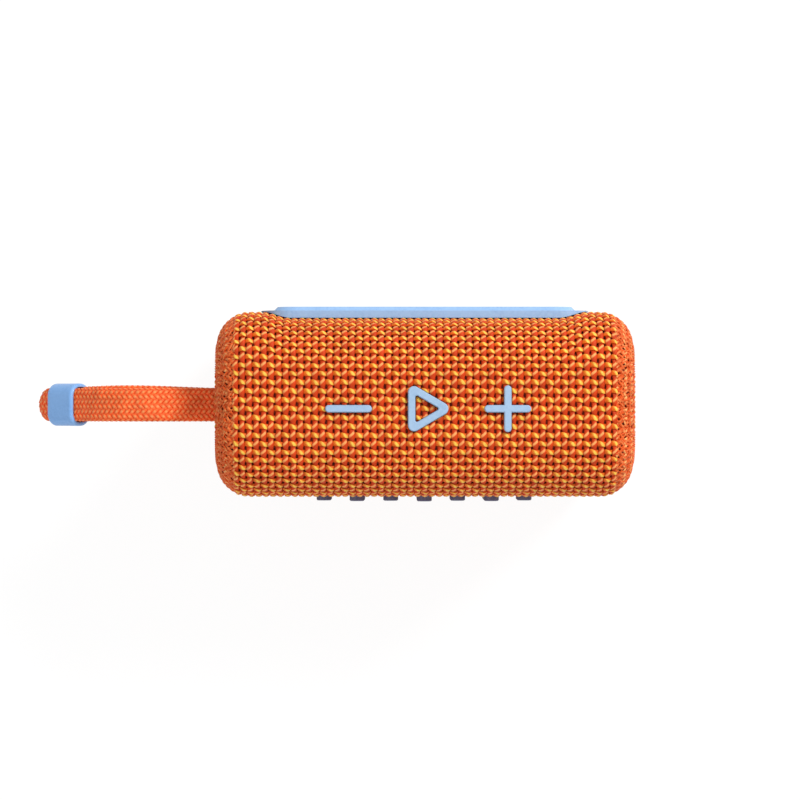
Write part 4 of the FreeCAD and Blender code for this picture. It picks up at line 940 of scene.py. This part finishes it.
def arc_stroke(bm, radius, start, sweep):
    """A stroke along an arc in the YZ plane; angles are measured from upwards, towards +Y."""
    face_x = SIGN_PROUD - SIGN_SINK / 2
    size = Matrix.Diagonal((SIGN_SINK, SIGN_STROKE, SIGN_STROKE, 1))
    box = Matrix.Translation((face_x, 0, radius)) @ size
    profile = bmesh.ops.create_grid(bm, x_segments=1, y_segments=1, size=0.5,
                                    matrix=box @ Matrix.Rotation(math.pi / 2, 4, "X"))["verts"]
    bmesh.ops.rotate(bm, verts=profile, matrix=Matrix.Rotation(-start, 3, "X"))
    faces = {f for v in profile for f in v.link_faces}
    steps = max(3, round(math.degrees(sweep) / 12))
    bmesh.ops.spin(bm, geom=[*faces, *{e for f in faces for e in f.edges}, *profile], cent=(0, 0, 0),
                   axis=(1, 0, 0), dvec=(0, 0, 0), angle=-sweep, steps=steps, use_duplicate=False)


def dot_stroke(bm, radius, y, z, height=0.0):
    """A round dot, or a bar with round ends when it has a height."""
    for end in (-height / 2, height / 2):
        place = Matrix.Translation((SIGN_PROUD - SIGN_SINK / 2, y, z + end))
        place = place @ Matrix.Rotation(math.pi / 2, 4, "Y")
        bmesh.ops.create_cone(bm, cap_ends=True, segments=20, radius1=radius, radius2=radius,
                              depth=SIGN_SINK, matrix=place)
    if height:
        size = Matrix.Diagonal((SIGN_SINK * 0.98, 2 * radius, height, 1))
        bmesh.ops.create_cube(bm, size=1.0,
                              matrix=Matrix.Translation((SIGN_PROUD - SIGN_SINK / 2, y, z)) @ size)


def power_sign(bm):
    arc_stroke(bm, 0.00125, math.radians(38), math.radians(284))
    dot_stroke(bm, SIGN_STROKE / 2, 0, 0.00105, 0.00110)


def pairing_sign(bm):
    dot_stroke(bm, 0.00034, 0, 0)
    for radius in (0.00095, 0.00165):
        for middle in (90, 270):
            arc_stroke(bm, radius, math.radians(middle - 42), math.radians(84))


material, tree, surface = new_material("sign_rubber")
place = add(tree, "TexCoord").outputs["Object"]
tint = add(tree, "TexNoise", {"Vector": place, "Scale": 1800.0}).outputs[0]
colour = mix(tree, span(tree, tint, 0.35, 0.65), srgb(84, 116, 164), srgb(100, 134, 184))
shader = add(tree, "BsdfPrincipled", {"Base Color": colour, "Roughness": 0.6})
tree.links.new(shader.outputs[0], surface)
for key, draw in (("power_key", power_sign), ("pairing_key", pairing_sign)):
    low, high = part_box(key)
    sign_bm = bmesh.new()
    draw(sign_bm)
    bmesh.ops.recalc_face_normals(sign_bm, faces=sign_bm.faces)
    shift = Matrix.Translation((high.x, (low.y + high.y) / 2, (low.z + high.z) / 2))
    bmesh.ops.transform(sign_bm, matrix=shift, verts=sign_bm.verts)
    sign = new_piece(key + "_sign", sign_bm, material)
    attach(sign, key)

# ---- moulded, pressed and bought-in parts ----
# What the cloth leaves bare is silicone rubber, lightly blasted in the mould. Inside are a black moulded
# casing, plated steel, a paper cone, green boards and a film-wrapped cell.


def surface_grain():
    """A group of patterns in the object's own space: fine grain, broad mottling, and even lines."""
    tree = bpy.data.node_groups.new("surface_grain", "ShaderNodeTree")
    for name, kind in (("Fine", "Float"), ("Broad", "Float"), ("Stretch", "Vector"), ("Lines", "Vector")):
        tree.interface.new_socket(name, in_out="INPUT", socket_type="NodeSocket" + kind)
    for name in ("Grain", "Mottle", "Line"):
        tree.interface.new_socket(name, in_out="OUTPUT", socket_type="NodeSocketFloat")
    given = tree.nodes.new("NodeGroupInput").outputs
    place = add(tree, "TexCoord").outputs["Object"]
    stretched = add(tree, "VectorMath", {0: place, 1: given["Stretch"]}, operation="MULTIPLY").outputs[0]
    grain = add(tree, "TexNoise", {"Vector": stretched, "Scale": given["Fine"], "Detail": 3.0,
                                   "Roughness": 0.6})
    mottle = add(tree, "TexNoise", {"Vector": place, "Scale": given["Broad"], "Detail": 3.0,
                                    "Roughness": 0.55})
    count = add(tree, "VectorMath", {0: place, 1: given["Lines"]}, operation="DOT_PRODUCT").outputs["Value"]
    turn = maths(tree, "MULTIPLY", count, 2 * math.pi)
    wave = maths(tree, "COSINE", turn)
    out = tree.nodes.new("NodeGroupOutput").inputs
    tree.links.new(grain.outputs[0], out["Grain"])
    tree.links.new(mottle.outputs[0], out["Mottle"])
    tree.links.new(add(tree, "MapRange", {"Value": wave, "From Min": -1.0}).outputs[0], out["Line"])
    return tree


GRAIN = surface_grain()


def part_material(name, body, shade, rough, fine=2400.0, broad=120.0, stretch=(1, 1, 1), lines=(0, 0, 0),
                  line_share=0.0, depth=0.00002, **constants):
    """Body colour mottled towards shade; lines, where there are any, are drawn in shade and raised."""
    material, tree, surface = new_material(name)
    pattern = add(tree, "Group", node_tree=GRAIN)
    for socket, value in (("Fine", fine), ("Broad", broad), ("Stretch", stretch), ("Lines", lines)):
        pattern.inputs[socket].default_value = value
    grain, mottle, line = (pattern.outputs[name] for name in ("Grain", "Mottle", "Line"))
    fine_specks = span(tree, grain, 0.35, 0.68)
    patches = span(tree, mottle, 0.35, 0.65, 0.35, 1.0)
    speck = maths(tree, "MULTIPLY", fine_specks, patches)
    ribbed = maths(tree, "MULTIPLY", line, line_share)
    share = maths(tree, "MAXIMUM", speck, ribbed)
    colour = mix(tree, share, body, shade)
    dull = span(tree, mottle, 0.3, 0.7, rough - 0.07, rough + 0.07)
    height = maths(tree, "MULTIPLY_ADD", ribbed, 4.0, grain)
    bump = add(tree, "Bump", {"Height": height, "Strength": 0.5, "Distance": depth}).outputs[0]
    shader = add(tree, "BsdfPrincipled", {"Base Color": colour, "Roughness": dull, "Normal": bump,
                                          **constants})
    tree.links.new(shader.outputs[0], surface)
    return material


METAL = {"Metallic": 1.0, "stretch": (1, 12, 1), "broad": 260.0}
finishes = {
    "casing_plastic": part_material("black_moulded_plastic", srgb(40, 40, 43), srgb(28, 28, 31), 0.52),
    "blue_rubber": part_material("blue_silicone_rubber", srgb(163, 201, 243), srgb(146, 186, 232), 0.58,
                                 fine=1500.0, broad=300.0),
    "collar_rubber": part_material("mid_blue_silicone_rubber", srgb(138, 190, 250), srgb(124, 176, 238),
                                   0.40, fine=1500.0, broad=200.0, **{"Coat Weight": 0.25}),
    # The badge bars' dark slate is painted shade: it is the tone their faces show in shade from above,
    # given to the whole plastic.
    "badge_plastic": part_material("badge_plastic_painted_shade", srgb(92, 94, 126), srgb(80, 82, 112), 0.42),
    "seal_foam": part_material("closed_cell_foam", srgb(44, 44, 44), srgb(18, 18, 18), 0.95, fine=3600.0,
                               depth=0.00010),
    "steel": part_material("zinc_plated_steel", srgb(196, 198, 202), srgb(160, 162, 168), 0.34, **METAL),
    "magnet_nickel": part_material("nickel_plate", srgb(214, 210, 200), srgb(184, 180, 172), 0.20, **METAL),
    "coil_copper": part_material("enamelled_copper_winding", srgb(214, 124, 70), srgb(132, 62, 30), 0.30,
                                 lines=(0, 4200, 0), line_share=0.8, Metallic=1.0),
    "cone_paper": part_material("pressed_paper", srgb(50, 49, 50), srgb(28, 28, 30), 0.85, fine=1400.0,
                                depth=0.00006),
    "suspension_cloth": part_material("varnished_cloth", srgb(206, 160, 92), srgb(150, 104, 50), 0.72,
                                      lines=(1500, 0, 1500), line_share=0.7, depth=0.00004),
    "surround_rubber": part_material("black_roll_rubber", srgb(30, 30, 31), srgb(20, 20, 21), 0.48),
    "board_green": part_material("green_solder_mask", srgb(18, 84, 48), srgb(38, 122, 74), 0.34,
                                 lines=(420, 0, 260), line_share=0.9, **{"Coat Weight": 0.3}),
    "chip_black": part_material("black_chip_resin", srgb(26, 26, 28), srgb(44, 44, 46), 0.42, fine=3000.0),
    "cell_wrap": part_material("blue_cell_film", srgb(62, 96, 168), srgb(46, 76, 144), 0.26, fine=500.0,
                               stretch=(1, 1, 5), depth=0.00008, **{"Coat Weight": 0.4}),
    "flex_amber": part_material("amber_film_ribbon", srgb(206, 132, 40), srgb(150, 80, 24), 0.28,
                                lines=(900, 0, 0), line_share=0.9),
    "light_pipe": part_material("clear_light_pipe", srgb(236, 242, 250), srgb(222, 232, 246), 0.18,
                                **{"Transmission Weight": 0.6, "IOR": 1.49}),
}
key_rubber = part_material("pale_key_rubber", srgb(170, 200, 231), srgb(154, 186, 220), 0.58, fine=1500.0,
                           broad=300.0)
foot_rubber = part_material("ribbed_foot_rubber", srgb(160, 198, 242), srgb(130, 172, 224), 0.66,
                            lines=(500, 0, 0), line_share=0.6, depth=0.00012)

own_finish = {"bottom_foot": foot_rubber, "minus_key": key_rubber, "play_key": key_rubber,
              "plus_key": key_rubber}
slot_of = {row["node"]: row["material_slot"] for row in frame["record"]["subparts"]}
for name, piece in nodes.items():
    slot_name = slot_of[name]
    if slot_name in finishes:
        piece.data.materials.clear()
        piece.data.materials.append(own_finish.get(name, finishes[slot_name]))
collar.data.materials.append(finishes["collar_rubber"])
